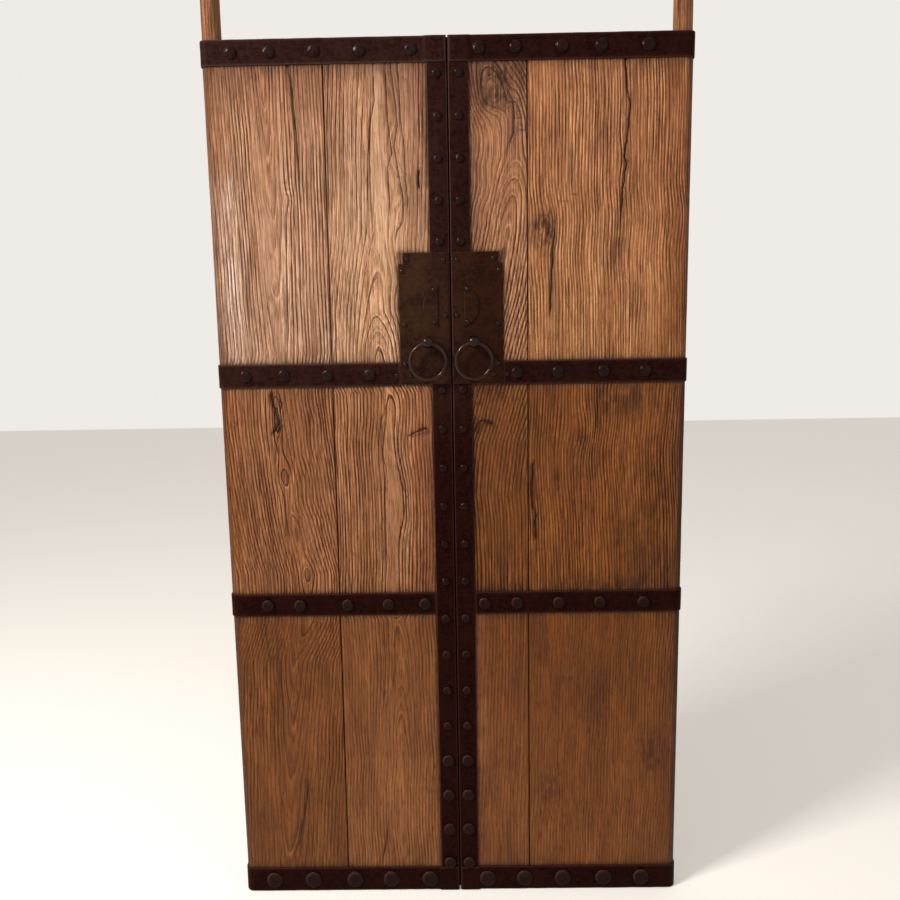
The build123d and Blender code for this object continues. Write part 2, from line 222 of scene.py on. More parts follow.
# Materials
class Nodes:
    """Shorthand for building the node tree of a material or a world."""

    def __init__(self, owner):
        owner.use_nodes = True
        self.owner = owner
        self.tree = owner.node_tree
        self.tree.nodes.clear()

    def add(self, kind, inputs, **settings):
        """A node with its settings and then its inputs, each a value or another node's socket."""
        node = self.tree.nodes.new(kind)
        for key, value in settings.items():
            setattr(node, key, value)
        for key, value in inputs.items():
            socket = node.inputs[key]
            if isinstance(value, bpy.types.NodeSocket):
                self.tree.links.new(value, socket)
                continue
            if socket.type == "RGBA" and len(value) == 3:
                value = (*value, 1.0)
            socket.default_value = value
        return node

    def close(self, output, shader):
        """Send the shader to the tree's output; gives the finished material or world."""
        self.add(output, {0: shader.outputs[0]})
        return self.owner

    def math(self, operation, a, b=0.0):
        return self.add("ShaderNodeMath", {0: a, 1: b}, operation=operation).outputs[0]

    def times(self, first, *others):
        for other in others:
            first = self.math("MULTIPLY", first, other)
        return first

    def mix(self, share, a, b, blend="MIX"):
        inputs = {0: share, 6: a, 7: b}
        return self.add("ShaderNodeMix", inputs, data_type="RGBA", blend_type=blend).outputs[2]

    def shade(self, base, *layers):
        """The base multiplied by the colour of each (share, colour) in turn."""
        for share, colour in layers:
            base = self.mix(share, base, colour, "MULTIPLY")
        return base

    def layer(self, name, output="Fac"):
        return self.add("ShaderNodeAttribute", {}, attribute_name=name).outputs[output]

    def place(self, scale):
        """Object coordinates stretched by scale, per metre."""
        place = self.add("ShaderNodeTexCoord", {}).outputs["Object"]
        return self.add("ShaderNodeMapping", {"Vector": place, "Scale": scale}).outputs[0]

    def noise(self, scale, detail=3.0, rough=0.6):
        inputs = {"Vector": self.place(scale), "Scale": 1.0, "Detail": detail, "Roughness": rough}
        return self.add("ShaderNodeTexNoise", inputs).outputs[0]

    def ramp(self, value, low, high, start=0.0, end=1.0):
        inputs = {0: value, 1: low, 2: high, 3: start, 4: end}
        return self.add("ShaderNodeMapRange", inputs, interpolation_type="SMOOTHSTEP").outputs[0]

    def bump(self, height, distance):
        inputs = {"Height": height, "Distance": distance, "Strength": 1.0}
        return self.add("ShaderNodeBump", inputs).outputs[0]

    def material(self, **inputs):
        """Close the tree with a surface; its inputs are named with low lines for spaces."""
        inputs = {key.replace("_", " "): value for key, value in inputs.items()}
        return self.close("ShaderNodeOutputMaterial", self.add("ShaderNodeBsdfPrincipled", inputs))


def growth_lines(n, ring, open_grain, breaks):
    """Masks along the growth rings: the open line, a painted highlight beside it as on a lit ridge, and a
    finer line.
    """
    part = n.math("FRACT", ring)
    beside = n.math("DIVIDE", n.math("SUBTRACT", part, 0.5), n.layer("slope"))
    rim = n.ramp(n.math("ABSOLUTE", beside), 0.27, 0.11)
    number = n.add("ShaderNodeTexWhiteNoise", {"W": n.math("FLOOR", ring)}, noise_dimensions="1D")
    random = number.outputs[0]
    line = n.times(rim, n.ramp(random, 0.0, 0.8, 0.55, 1.0), breaks, open_grain)
    lit = n.times(n.ramp(beside, 0.16, 0.26), n.ramp(beside, 0.50, 0.34), breaks, open_grain)
    fine = n.math("FRACT", n.math("MULTIPLY", ring, 2.0))
    fine = n.times(n.ramp(fine, 0.3, 0.6), n.ramp(fine, 0.75, 0.98, 1.0, 0.0))
    fine = n.times(fine, n.ramp(n.noise((340.0, 340.0, 15.0), 2.0), 0.38, 0.60))
    return line, lit, fine, random


def wood_material(name, line_dark, fibre_dark, along=(290.0, 290.0, 8.0)):
    """Weathered oak: dark pores along the rings, fine fibres, stains with painted shade, and cracks from the
    mesh painted almost black inside as shade.
    """
    n = Nodes(bpy.data.materials.new(name))
    open_grain = n.layer("open")
    breaks = n.ramp(n.noise((300.0, 300.0, 18.0), 3.0), 0.34, 0.52, 0.35, 1.0)
    line, lit, fine, random = growth_lines(n, n.layer("ring"), open_grain, breaks)
    fibre = n.noise(along, 6.0, 0.80)
    pores = n.ramp(n.noise((along[0] * 1.5, along[1] * 1.5, along[2] * 4), 2.0, 0.5), 0.56, 0.68)
    broad = n.noise((24.0, 24.0, 3.2), 4.0, 0.6)
    spots = n.noise((75.0, 75.0, 48.0), 3.0, 0.6)
    raised = n.ramp(open_grain, 0.25, 0.95, 0.35, 1.0)
    base = n.shade(
        n.layer("tint", "Color"),
        (n.ramp(broad, 0.36, 0.64, 0.0, 0.60), (0.66, 0.56, 0.47)),
        (n.ramp(random, 0.3, 1.0, 0.0, 0.35), (1.30, 1.24, 1.14)),
        (n.times(n.ramp(fibre, 0.48, 0.60, 0.0, 0.95), raised), (1.42, 1.52, 1.66)),
        (n.times(n.ramp(fibre, 0.52, 0.40, 0.0, fibre_dark), raised), (0.40, 0.31, 0.24)),
        (n.ramp(spots, 0.58, 0.74, 0.0, 0.35), (0.66, 0.52, 0.40)),
        (n.times(fine, 0.60), (0.45, 0.36, 0.30)),
        (n.times(pores, 0.60), (0.36, 0.27, 0.21)),
        # Painted highlight: a pale band beside each open line, as on a lit ridge.
        (n.times(lit, 0.85), (1.52, 1.66, 1.86)),
        (n.times(line, line_dark), (0.10, 0.052, 0.030)),
        # This layer darkens the wood for real stains and for painted shade along the iron, on the outer
        # edges and along the bent nails.
        (n.layer("stain"), (0.17, 0.115, 0.08)),
    )
    # Painted shade: the insides of cracks are coloured almost black.
    crack_shade = n.math("LESS_THAN", n.math("ABSOLUTE", n.layer("gap")), n.layer("width"))
    height = n.times(line, -1.0)
    for mask, rise in ((fibre, 1.2), (fine, -0.35), (pores, -0.45)):
        height = n.math("ADD", height, n.times(mask, rise))
    return n.material(
        Base_Color=n.mix(crack_shade, base, (0.012, 0.007, 0.005)),
        Roughness=n.ramp(fibre, 0.3, 0.7, 0.42, 0.62),
        Specular_IOR_Level=0.20,
        Normal=n.bump(height, 0.0012),
    )


def hidden_wood_material(name):
    """Clean wood that never saw the weather, for the tongues inside the joints."""
    n = Nodes(bpy.data.materials.new(name))
    fibre = n.noise((420.0, 420.0, 9.0), 5.0, 0.7)
    broad = n.noise((40.0, 40.0, 4.0), 3.0, 0.6)
    base = n.mix(n.ramp(fibre, 0.36, 0.64), (0.22, 0.125, 0.065), (0.40, 0.25, 0.14))
    return n.material(
        Base_Color=n.shade(base, (n.ramp(broad, 0.40, 0.66, 0.0, 0.4), (0.70, 0.62, 0.54))),
        Roughness=n.ramp(fibre, 0.3, 0.7, 0.55, 0.75),
        Normal=n.bump(fibre, 0.0006),
    )


def iron_material(name, scale, rust, rust_share, rough, pitted, shine, tint):
    """Forged iron: dark scale with brown patches, edges lightened by wear and painted highlight, and a
    pitted face.
    """
    n = Nodes(bpy.data.materials.new(name))
    patches = n.noise((17.0, 17.0, 13.0), 5.0, 0.62)
    mottle = n.noise((120.0, 120.0, 120.0), 4.0, 0.65)
    pits = n.noise((420.0, 420.0, 420.0), 3.0, 0.6)
    streaks = n.noise((30.0, 30.0, 420.0), 3.0, 0.6)
    rusty = n.ramp(patches, 0.50 - 0.12 * rust_share, 0.72 - 0.12 * rust_share)
    colour = scale
    for share, over in (
        (n.ramp(mottle, 0.36, 0.66), [2.4 * k for k in scale]),
        (n.times(rusty, rust_share), rust),
        (n.ramp(pits, 0.58, 0.70, 0.0, 0.5), (0.060, 0.026, 0.018)),
        (n.ramp(streaks, 0.50, 0.66, 0.0, 0.5), [3.2 * k for k in scale]),
        # Wear and painted highlight: the edges are lighter.
        (n.times(n.layer("edge"), 0.75), (0.085, 0.050, 0.040)),
    ):
        colour = n.mix(share, colour, over)
    # Painted shade: the iron is darker towards the right leaf and below the rings, where the light falls
    # off.
    place = n.add("ShaderNodeSeparateXYZ", {0: n.place((1.0, 1.0, 1.0))}).outputs
    falloff_shade = n.math("MAXIMUM", n.ramp(place[0], -0.08, 0.10, 0.0, 0.75), n.ramp(place[2], 1.35, 1.05))
    return n.material(
        Base_Color=n.shade(colour, (falloff_shade, (0.62, 0.40, 0.38))),
        Specular_IOR_Level=shine,
        Specular_Tint=tint,
        Roughness=n.ramp(mottle, 0.3, 0.7, rough - 0.08, rough + 0.12),
        Normal=n.bump(n.math("ADD", n.times(mottle, 0.7), n.times(pits, 0.45)), pitted),
    )


wood = wood_material("weathered_plank", 1.0, 0.80)
batten_wood = wood_material("batten_wood", 0.60, 0.45, (500.0, 500.0, 500.0))
tongue_wood = hidden_wood_material("tongue_wood")
strap_iron = iron_material(
    "strap_iron", scale=(0.0100, 0.0036, 0.0030), rust=(0.030, 0.0120, 0.0080), rust_share=0.50,
    rough=0.50, pitted=0.0009, shine=0.035, tint=(1.0, 0.50, 0.40),
)
plate_iron = iron_material(
    "plate_iron", scale=(0.0120, 0.0050, 0.0032), rust=(0.040, 0.0170, 0.0085), rust_share=0.70,
    rough=0.48, pitted=0.0008, shine=0.05, tint=(1.0, 0.62, 0.50),
)
stud_iron = iron_material(
    "stud_iron", scale=(0.0065, 0.0025, 0.0021), rust=(0.022, 0.0088, 0.0060), rust_share=0.40,
    rough=0.22, pitted=0.0006, shine=0.11, tint=(1.0, 0.74, 0.66),
)
ring_iron = iron_material(
    "ring_iron", scale=(0.0050, 0.0022, 0.0016), rust=(0.016, 0.0070, 0.0045), rust_share=0.30,
    rough=0.12, pitted=0.0002, shine=0.24, tint=(1.0, 0.80, 0.70),
)


# Planks
def grime_and_shade(x, z, seed):
    """Dirt and rust on the wood along the iron and on the outer edges, with painted shade close along the
    iron and on the outer edges.
    """
    a = np.abs(x)
    near = np.abs(a - FLANGE_END)
    for level, height, _ in STRAPS.values():
        near = np.minimum(near, np.maximum(np.abs(z - level - height / 2) - height / 2, 0))
    middle, half = (PLATE_LOW + PLATE_HIGH) / 2, (PLATE_HIGH - PLATE_LOW) / 2
    plate = np.hypot(np.maximum(a - PLATE_OUTER, 0), np.maximum(np.abs(z - middle) - half, 0))
    near = np.minimum(near, plate)
    ragged = 1 + 0.6 * fractal(x / 12, z / 14, seed)
    # The first term is painted shade, a dark contact outline close along the iron; the second is dirt.
    dirt_and_contact_shade = 0.62 * np.exp(-near / 4.0) + 0.30 * ragged * np.exp(-near / 17.0)
    # Darker on the outer edges: dirt and painted shade.
    edge = 0.42 * np.exp(-np.abs(OUTER - a) / 9.0) * (1 + 0.5 * noise(x / 9, z / 60, seed + 1))
    return np.clip(np.maximum(dirt_and_contact_shade, edge), 0, 0.85)


def growth(plank, x, z):
    """Distance through the grain, in millimetres: its even steps are the growth rings."""
    seed = plank.seed
    wander = 3.2 * noise(x / 60, z / 260, seed) + 1.3 * noise(x / 22, z / 90, seed + 1)
    levels, middles, depths = zip(*plank.heart)
    centre = np.interp(z, levels, middles) + 3.0 * noise(z / 85, z * 0, seed + 2)
    depth = np.interp(z, levels, depths) + 1.2 * noise(z / 60, x / 40, seed + 3)
    s = np.sqrt((x - centre + wander) ** 2 + depth**2)
    s = s + 2.2 * noise(s / 26, z / 900, seed + 4) + 0.9 * noise(s / 9, z / 700, seed + 5)
    for *where, rise in plank.warps:
        s = s - rise * spot(x, z, *where)
    for wx, width, low, high, size, length in plank.waves:
        share = bell((x - wx) / width) * step(low - 60, low, z) * step(high + 60, high, z)
        s = s + size * share * (np.sin(2 * math.pi * z / length) + 0.6 * noise(z / 47, x / 30, seed + 6))
    return s


def rings(plank, x, z):
    """The rings' number, their closeness, and the relief and openness of the lines between them."""
    seed = plank.seed
    s = growth(plank, x, z)
    slope = np.hypot(growth(plank, x + 0.5, z) - s, (growth(plank, x, z + 2.0) - s) / 4) * 2
    slope = np.clip(slope, 0.38, 1.15)
    ring = s / plank.spacing
    part = ring - np.floor(ring)
    strength = 0.35 + 0.65 * hashed(np.floor(ring), 0 * ring, seed + 7)
    raised = np.interp(z, PANEL_LEVELS, plank.relief)
    calm = step(plank.calm * 0.6, plank.calm, s)
    h = raised * strength * step(0.36, 0.10, np.abs(part - 0.5) / slope) * calm
    h = h + 0.16 * raised * (1 + noise(x / 2.3, z / 42, seed + 8))
    h = h + 0.25 * (1 + noise(x / 70, z / 160, seed + 9))
    opened = np.clip(raised * 1.15, 0.30, 1.0) * (0.80 + 0.4 * noise(x / 45, z / 130, seed + 10)) * calm
    for *where, share in plank.quiet:
        calmed = 1 - share * spot(x, z, *where, power=4)
        opened = opened * calmed
        h = h * (0.3 + 0.7 * calmed)
    return h, ring, slope, np.clip(opened, 0.1, 1)


def surface(plank, x, z):
    """Depth of the relief and the layers that the material reads, at places on a plank's face."""
    seed = plank.seed
    h, ring, slope, opened = rings(plank, x, z)
    stain = np.zeros_like(x)
    gap = np.full_like(x, NO_CRACK)
    width = np.zeros_like(x)
    for crack in plank.cracks:
        route = sorted(crack.line, key=lambda p: p[1])
        low, high = route[0][1], route[-1][1]
        line = np.interp(z, [p[1] for p in route], [p[0] for p in route])
        line = line + crack.wiggle * noise(z / 19, z * 0, seed + 11 + crack.line[0][0])
        reach = step(low - 2, low + crack.taper, z)
        if not crack.full_top:
            reach = np.minimum(reach, step(high + 2, high - crack.taper, z))
        off = x - line
        half = crack.half * reach * (0.75 + 0.35 * noise(z / 13, z * 0, seed + 12))
        near = (np.abs(off) < np.abs(gap)) & (z > low - 4) & (z < high + 4)
        gap = np.where(near, off, gap)
        width = np.where(near, half, width)
        h = h + crack.depth * reach * bell(off / (crack.half * 1.3 + 0.9))
        stain = np.maximum(stain, crack.stain * reach * bell(off / 7.0))
    for *where, dark, deep in plank.patches:
        ragged = spot(x, z, *where) * (1 + 0.9 * fractal(x / 9, z / 16, seed + 14))
        ragged = np.clip(ragged, 0, 1)
        stain = np.maximum(stain, dark * ragged)
        h = h + deep * ragged * (0.5 + 0.5 * noise(x / 4, z / 9, seed + 15))
    # Scars darken and dent the wood; the ones along the bent nails are painted shadow.
    for x0, z0, x1, z1, half, dark, deep in plank.scars:
        dx, dz = x1 - x0, z1 - z0
        share = np.clip(((x - x0) * dx + (z - z0) * dz) / (dx**2 + dz**2), 0, 1)
        off = np.hypot(x - x0 - share * dx, z - z0 - share * dz) / half
        off = off * (1 + 0.35 * noise(x / 5, z / 5, seed + 18))
        stain = np.maximum(stain, dark * bell(off))
        h = h + deep * bell(off)
    wear = 0.5 + 0.5 * fractal(x / 55, z / 120, seed + 16)
    stain = np.clip(stain + 0.10 * step(0.55, 0.95, wear), 0, 1)
    return h, {"ring": ring, "slope": slope, "open": opened, "stain": stain, "gap": gap, "width": width}


def tints(plank, x, z):
    """Base colour over a plank, changing from panel to panel and towards its edges."""
    levels = [t[0] for t in plank.tones]
    colours = np.array([srgb(t[1]) for t in plank.tones])
    out = np.stack([np.interp(z, levels, colours[:, k]) for k in range(3)], -1)
    seed = plank.seed
    mottled = 1 + 0.10 * fractal(x / 38, z / 95, seed + 20) + 0.05 * noise(x / 9, z / 50, seed + 21)
    out = out * mottled[:, None] * plank.bright
    # Some washes are painted shadow or painted highlight, as marked where they are listed.
    for ex, width, low, high, colour, share in plank.washes:
        k = bell((x - ex) / width) * step(low - 40, low + 10, z) * step(high + 40, high - 10, z)
        k = np.clip(k * share * (1 + 0.5 * fractal(x / 15, z / 60, seed + 22)), 0, 1)[:, None]
        out = out * (1 - k) + srgb(colour) * k
    return out


def plank_rows():
    """Heights of the rows: closer where the grain stands out."""
    rows, low = [], 0
    for high, apart in ROW_STRETCHES:
        rows.append(np.arange(low, high, apart))
        low = high
    z = np.append(np.concatenate(rows), LEAF_HEIGHT)
    return z


def plank_section(plank, width):
    """Points round a plank: share of the width, offset, y, the normal along X and Y, and the kind."""
    loop = []
    steps = 12 if plank.rounding > 5 else 4

    def corner(end, back, radius, steps, kind):
        way = 2 * end - 1
        turn = np.radians(np.linspace(0, 90, steps))[1:-1]
        for a in turn[::-1] if back == bool(end) else turn:
            inward = radius * (1 - math.cos(a))
            y, ny = (WOOD_DEPTH - inward, math.cos(a)) if back else (inward, -math.cos(a))
            loop.append((end, way * radius * math.sin(a), y, way * math.sin(a), ny, kind))

    for t in np.linspace(0, 1, int(width / (plank.pitch * 1.0))):
        loop.append((t, 0, 0.0, 0.0, -1.0, "front"))
    corner(1, False, plank.rounding, steps, "turn")
    for y in np.linspace(plank.rounding, WOOD_DEPTH - plank.rounding, 6):
        loop.append((1, plank.rounding, y, 1.0, 0.0, "side"))
    corner(1, True, plank.rounding, steps, "turn")
    for t in np.linspace(1, 0, max(6, int(width / 16))):
        loop.append((t, 0, WOOD_DEPTH, 0.0, 1.0, "back"))
    corner(0, True, ARRIS, 4, "side")
    for y in np.linspace(WOOD_DEPTH - ARRIS, ARRIS, 6):
        loop.append((0, -ARRIS, y, -1.0, 0.0, "side"))
    corner(0, False, ARRIS, 4, "turn")
    return [np.array(column) for column in zip(*loop)]


def make_plank(plank):
    z = plank_rows()
    low = np.interp(z, [0, LEAF_HEIGHT], plank.low)
    high = np.interp(z, [0, LEAF_HEIGHT], plank.high)
    t, off, y, na, ny, kind = plank_section(plank, float((high - low).mean()))

    def by_kind(front, turn, side, back):
        return np.select([kind == "front", kind == "turn", kind == "side"], [front, turn, side], back)

    low, high = low + ARRIS, high - plank.rounding
    a = low[:, None] + (high - low)[:, None] * t + off
    yy = np.broadcast_to(y, a.shape)
    zz = np.broadcast_to(z[:, None], a.shape)
    # The grain runs on round the edges: there the depth counts as distance across
    unfolded = a + np.sign(t - 0.5) * np.minimum(yy, 30.0) * by_kind(0, 1, 1, 0)
    x, zs = plank.side * unfolded.ravel(), zz.ravel()
    h, layers = surface(plank, x, zs)
    # Dirt and painted shade along the iron and the outer edges go into the stain and shade layer.
    dirt_and_shade = np.broadcast_to(by_kind(1.0, 1.0, 0.6, 0.0), a.shape).ravel() * grime_and_shade(x, zs, plank.seed + 17)
    layers["stain"] = 1 - (1 - layers["stain"]) * (1 - dirt_and_shade)
    layers["gap"] = np.where(np.broadcast_to(kind == "back", a.shape).ravel(), NO_CRACK, layers["gap"])
    # Painted shade: the colour is darker on the rounded edges and sides, and a little darker on the back.
    off_front_shade = np.broadcast_to(by_kind(1.0, 0.7, 0.7, 0.8), a.shape).ravel()
    layers["tint"] = tints(plank, x, zs) * off_front_shade[:, None]
    h = np.minimum(h.reshape(a.shape) * by_kind(1.0, 0.8, 0.4, 0.25), 7.0)
    points = places(plank.side * (a - na * h), WOOD_FRONT + yy - ny * h, zz)
    faces = tube_faces(len(z), len(t))
    make_piece(plank.name + "_grain", points, faces, plank.body, wood, plank.name, 50, layers)


def crack(line, half, depth, taper=60.0, wiggle=0.8, stain=0.45, full_top=False):
    """A crack along points (X, Z): half its width, its depth, and how far its ends taper."""
    return NS(line=line, half=half, depth=depth, taper=taper, wiggle=wiggle, stain=stain, full_top=full_top)


def plank(leaf, part, **values):
    """The values of one plank, with its marks where the photo shows them.

    relief: depth of the grain at PANEL_LEVELS.
    heart: Z, X and depth of the middle of the growth rings.
    tones: Z and display colour.
    warps: X, Z, reach across, reach along, and the bulge of the rings round a knot.
    waves: X, reach, lowest and highest Z, size and length of wavy grain.
    quiet: X, Z, reach across, reach along, and share taken from the grain.
    scars and painted shadows: X, Z, X, Z, half width, darkness, depth.
    patches: X, Z, reach across, reach along, darkness, depth.
    washes: X, reach, lowest and highest Z, display colour, share.
    """
    side, joint = (-1, LEFT_JOINT) if leaf == "left" else (1, RIGHT_JOINT)
    low, high, rounding = [OUTER - j + JOINT_HALF for j in joint], [OUTER, OUTER], EDGE_ROUNDING
    if part == "meeting":
        low, high, rounding = [WOOD_INNER, WOOD_INNER], [OUTER - j - JOINT_HALF for j in joint], ARRIS
    return NS(name=f"{leaf}_{part}_plank", body=f"{leaf}_leaf", side=side, low=low, high=high,
              rounding=rounding, **values)


left_stile = plank(
    "left", "stile", seed=3, pitch=1.6, spacing=7.3, calm=7, bright=1.1,
    relief=[0.48, 0.6, 1.0, 1.05, 1.15, 1.1, 0.85],
    heart=[
        (0, -420, 60), (300, -405, 46), (600, -385, 32), (700, -350, 20), (815, -345, 14),
        (915, -366, 17), (1050, -388, 22), (1141, -398, 27), (1247, -402, 34), (1330, -384, 37),
        (1480, -386, 30), (1653, -390, 22), (1815, -393, 14), (2000, -396, 3),
    ],
    quiet=[(-392, 1700, 34, 230, 0.45)],
    scars=[
        (-365, 1702, -340, 1700, 1.6, 0.4, 0.5), (-362, 1690, -338, 1686, 1.6, 0.4, 0.5),
        (-358, 1678, -336, 1672, 1.6, 0.4, 0.5),
    ],
    warps=[
        (-391, 1050, 16, 30, 7), (-366, 915, 15, 34, 5), (-344, 815, 16, 28, 6), (-402, 1190, 12, 60, 16),
        (-352, 1665, 15, 22, 5),
    ],
    waves=[(-330, 38, 960, 1250, 2.6, 120)],
    cracks=[
        crack([(-343, 1948), (-334, 1891), (-331, 1828), (-329, 1777), (-326, 1706), (-329, 1668)], 1.6,
              3.5, 90, full_top=True),
        crack([(-365, 330), (-372, 240), (-392, 140), (-413, 80)], 1.1, 2.6, 60),
        crack([(-409, 1250), (-411, 1230), (-406, 1207), (-399, 1171), (-411, 1148), (-405, 1136)], 2.8,
              5.0, 16, 1.2, 0.8),
        crack([(-398, 1250), (-390, 1214), (-392, 1190), (-396, 1150), (-405, 1134)], 1.5, 2.6, 16, 1.0,
              0.4),
        crack([(-396, 1222), (-381, 1206), (-391, 1171), (-405, 1120), (-411, 1064)], 0.8, 1.5, 30, 0.6,
              0.2),
    ],
    patches=[
        (-391, 1050, 9, 16, 0.45, 0.6), (-368, 918, 9, 26, 0.35, 0.5), (-344, 812, 10, 16, 0.35, 0.5),
        (-500, 1900, 90, 50, 0.18, 0.0), (-500, 1935, 160, 22, 0.35, 0.0),
    ],
    tones=[
        (0, (120, 72, 32)), (690, (114, 66, 28)), (740, (146, 96, 60)), (1240, (150, 100, 66)),
        (1290, (182, 142, 116)), (1600, (180, 138, 110)), (1800, (170, 124, 92)), (1950, (146, 98, 66)),
    ],
    washes=[
        (-515, 26, 760, 1250, (160, 98, 50), 0.5), (-518, 18, 1300, 1950, (140, 84, 42), 0.55),
        # Of the next two washes, the first is a painted highlight: a pale sheen on the upper panel near the
        # outer edge.
        (-488, 26, 1310, 1700, (214, 184, 168), 0.5), (-512, 22, 60, 700, (126, 76, 40), 0.45),
    ],
)

left_meeting = plank(
    "left", "meeting", seed=17, pitch=1.6, spacing=7.2, calm=17, bright=1.12,
    relief=[0.45, 0.6, 1.0, 1.05, 1.15, 1.1, 0.9],
    heart=[
        (0, -140, 14), (80, -140, 12), (250, -140, 6), (400, -135, 12), (540, -135, 26), (700, -140, 34),
        (760, -145, 5), (1060, -143, 8), (1130, -144, 11), (1236, -143, 19), (1280, -162, 20),
        (1345, -166, 26), (1420, -168, 42), (1600, -150, 54), (2000, -140, 60),
    ],
    quiet=[(-120, 1760, 44, 230, 0.75), (-152, 1740, 14, 260, 0.6)],
    scars=[
        # The first two entries are painted shadow along the bent nail.
        (-64, 1157, -82, 1149, 3.4, 0.9, 0.6), (-82, 1149, -104, 1138, 2.6, 0.85, 0.5),
        (-96, 1915, -86, 1908, 1.6, 0.5, 0.6),
    ],
    warps=[(-103, 1690, 14, 40, 10), (-118, 990, 16, 60, 7)],
    waves=[(-115, 26, 1500, 1945, 3.4, 190), (-120, 30, 760, 1200, 2.4, 260)],
    cracks=[
        crack([(-159, 1948), (-158, 1872), (-171, 1810), (-172, 1698), (-170, 1617), (-171, 1534)], 0.9,
              2.0, 200, 0.4, 0.25, True),
        crack([(-133, 1948), (-131, 1887), (-130, 1825), (-123, 1761), (-133, 1729), (-131, 1664),
              (-137, 1566)], 0.75, 2.2, 90, 0.4, 0.25, True),
        crack([(-122, 1948), (-115, 1887), (-109, 1818), (-118, 1777), (-111, 1729), (-100, 1664),
              (-102, 1616), (-116, 1593), (-124, 1550)], 0.8, 2.4, 50, 0.4, 0.25, True),
        crack([(-106, 1948), (-104, 1887), (-102, 1825), (-95, 1773), (-95, 1710), (-91, 1664),
              (-94, 1599)], 0.65, 2.0, 90, 0.4, 0.25, True),
        crack([(-131, 1191), (-126, 1104), (-122, 1035), (-109, 998), (-118, 946), (-129, 888),
              (-133, 838)], 0.6, 1.5, 60, 0.5, 0.2),
        crack([(-142, 1236), (-163, 1172), (-163, 1100), (-155, 1060), (-161, 979), (-162, 780)], 0.7,
              1.6, 60, 0.5, 0.25),
        crack([(-64, 1731), (-67, 1709), (-63, 1679)], 1.9, 3.4, 14, 1.2, 0.6),
        crack([(-173, 199), (-180, 130), (-196, 55)], 0.9, 2.2, 60),
    ],
    patches=[
        (-200, 1935, 140, 18, 0.3, 0.0), (-92, 1650, 12, 16, 0.35, 0.4), (-64, 860, 20, 90, 0.15, 0.0),
    ],
    tones=[
        (0, (140, 90, 52)), (690, (126, 78, 40)), (740, (154, 104, 66)), (1240, (160, 110, 74)),
        (1290, (186, 144, 112)), (1600, (188, 146, 114)), (1800, (178, 134, 102)), (1950, (152, 106, 76)),
    ],
    washes=[
        (-62, 26, 760, 1240, (158, 92, 60), 0.5), (-140, 26, 800, 1160, (176, 130, 96), 0.45),
        (-64, 20, 1500, 1940, (156, 100, 80), 0.4), (-152, 11, 1540, 1945, (222, 184, 152), 0.45),
    ],
)

right_stile = plank(
    "right", "stile", seed=29, pitch=2.25, spacing=6.9, calm=4, bright=1.1,
    relief=[0.34, 0.4, 1.3, 1.3, 1.0, 0.95, 0.8],
    heart=[(0, -60, 30), (700, -40, 30), (1100, -60, 30), (1300, -50, 30), (2000, -60, 30)],
    quiet=[],
    scars=[
        (182, 1622, 226, 1624, 1.8, 0.6, 0.8), (180, 1604, 214, 1606, 1.6, 0.5, 0.8),
        (240, 1652, 262, 1652, 1.8, 0.4, 0.5), (188, 1578, 212, 1560, 2.2, 0.6, 1.2),
        (182, 1588, 196, 1556, 2.0, 0.6, 1.2), (266, 1668, 284, 1665, 1.6, 0.5, 0.6),
        (186, 868, 206, 868, 1.4, 0.5, 0.5),
    ],
    warps=[
        (294, 1135, 34, 52, 11), (225, 1600, 15, 38, 7), (384, 1740, 16, 40, 6), (228, 235, 30, 60, 8),
        (470, 360, 26, 60, 6),
    ],
    waves=[(330, 40, 900, 1240, 1.6, 150), (520, 60, 60, 700, 1.5, 300)],
    cracks=[
        crack([(382, 1948), (386, 1881), (394, 1854), (388, 1785), (381, 1744), (388, 1731), (380, 1675),
              (375, 1583)], 1.6, 4.5, 60, 1.2, 0.5, True),
        crack([(234, 1629), (229, 1560), (225, 1480), (221, 1389)], 1.7, 4.0, 40, 1.2, 0.7),
        crack([(270, 1782), (271, 1720), (269, 1671)], 0.6, 1.4, 30, 0.6, 0.3),
        crack([(327, 1252), (330, 1200), (326, 1142)], 0.9, 2.5, 20, 1.4, 0.5),
        crack([(319, 850), (319, 766)], 0.5, 1.2, 20, 0.4, 0.2),
        crack([(186, 1085), (181, 1000), (188, 940), (189, 880)], 1.9, 4.2, 20, 3.0, 0.65),
        crack([(252, 316), (228, 276), (204, 237)], 0.4, 1.6, 14, 1.2, 0.25),
        crack([(204, 237), (218, 206), (234, 178)], 0.4, 1.6, 14, 1.2, 0.2),
    ],
    patches=[
        (208, 1592, 26, 40, 0.95, 2.2), (236, 1036, 7, 26, 0.65, 1.5), (372, 1560, 18, 50, 0.5, 0.5),
        (388, 1850, 18, 90, 0.32, 0.2), (350, 1940, 200, 16, 0.25, 0.0), (294, 1131, 20, 20, 0.6, 1.0),
        (340, 770, 150, 34, 0.6, 0.0), (390, 1215, 70, 40, 0.6, 0.0), (300, 1060, 26, 90, 0.35, 0.2),
        (452, 1000, 40, 150, 0.35, 0.1), (210, 1170, 26, 60, 0.3, 0.0), (400, 880, 60, 60, 0.3, 0.0),
        (470, 350, 26, 60, 0.55, 0.2), (224, 262, 26, 44, 0.5, 0.4), (300, 520, 80, 60, 0.22, 0.0),
        (260, 200, 60, 40, 0.25, 0.0), (210, 600, 20, 70, 0.3, 0.2), (290, 615, 14, 60, 0.3, 0.1),
        (186, 1000, 8, 60, 0.5, 1.2),
    ],
    tones=[
        (0, (124, 74, 34)), (690, (112, 62, 20)), (740, (130, 76, 28)), (1240, (132, 78, 34)),
        (1290, (176, 122, 78)), (1600, (178, 122, 80)), (1950, (172, 116, 74)),
    ],
    washes=[
        # The first wash is painted shadow on the rounded outer edge.
        (532, 13, 0, 1230, (44, 22, 12), 0.85), (500, 50, 1300, 1950, (138, 80, 38), 0.6),
        (505, 22, 60, 1240, (112, 66, 34), 0.5), (450, 60, 780, 860, (84, 46, 20), 0.5),
    ],
)

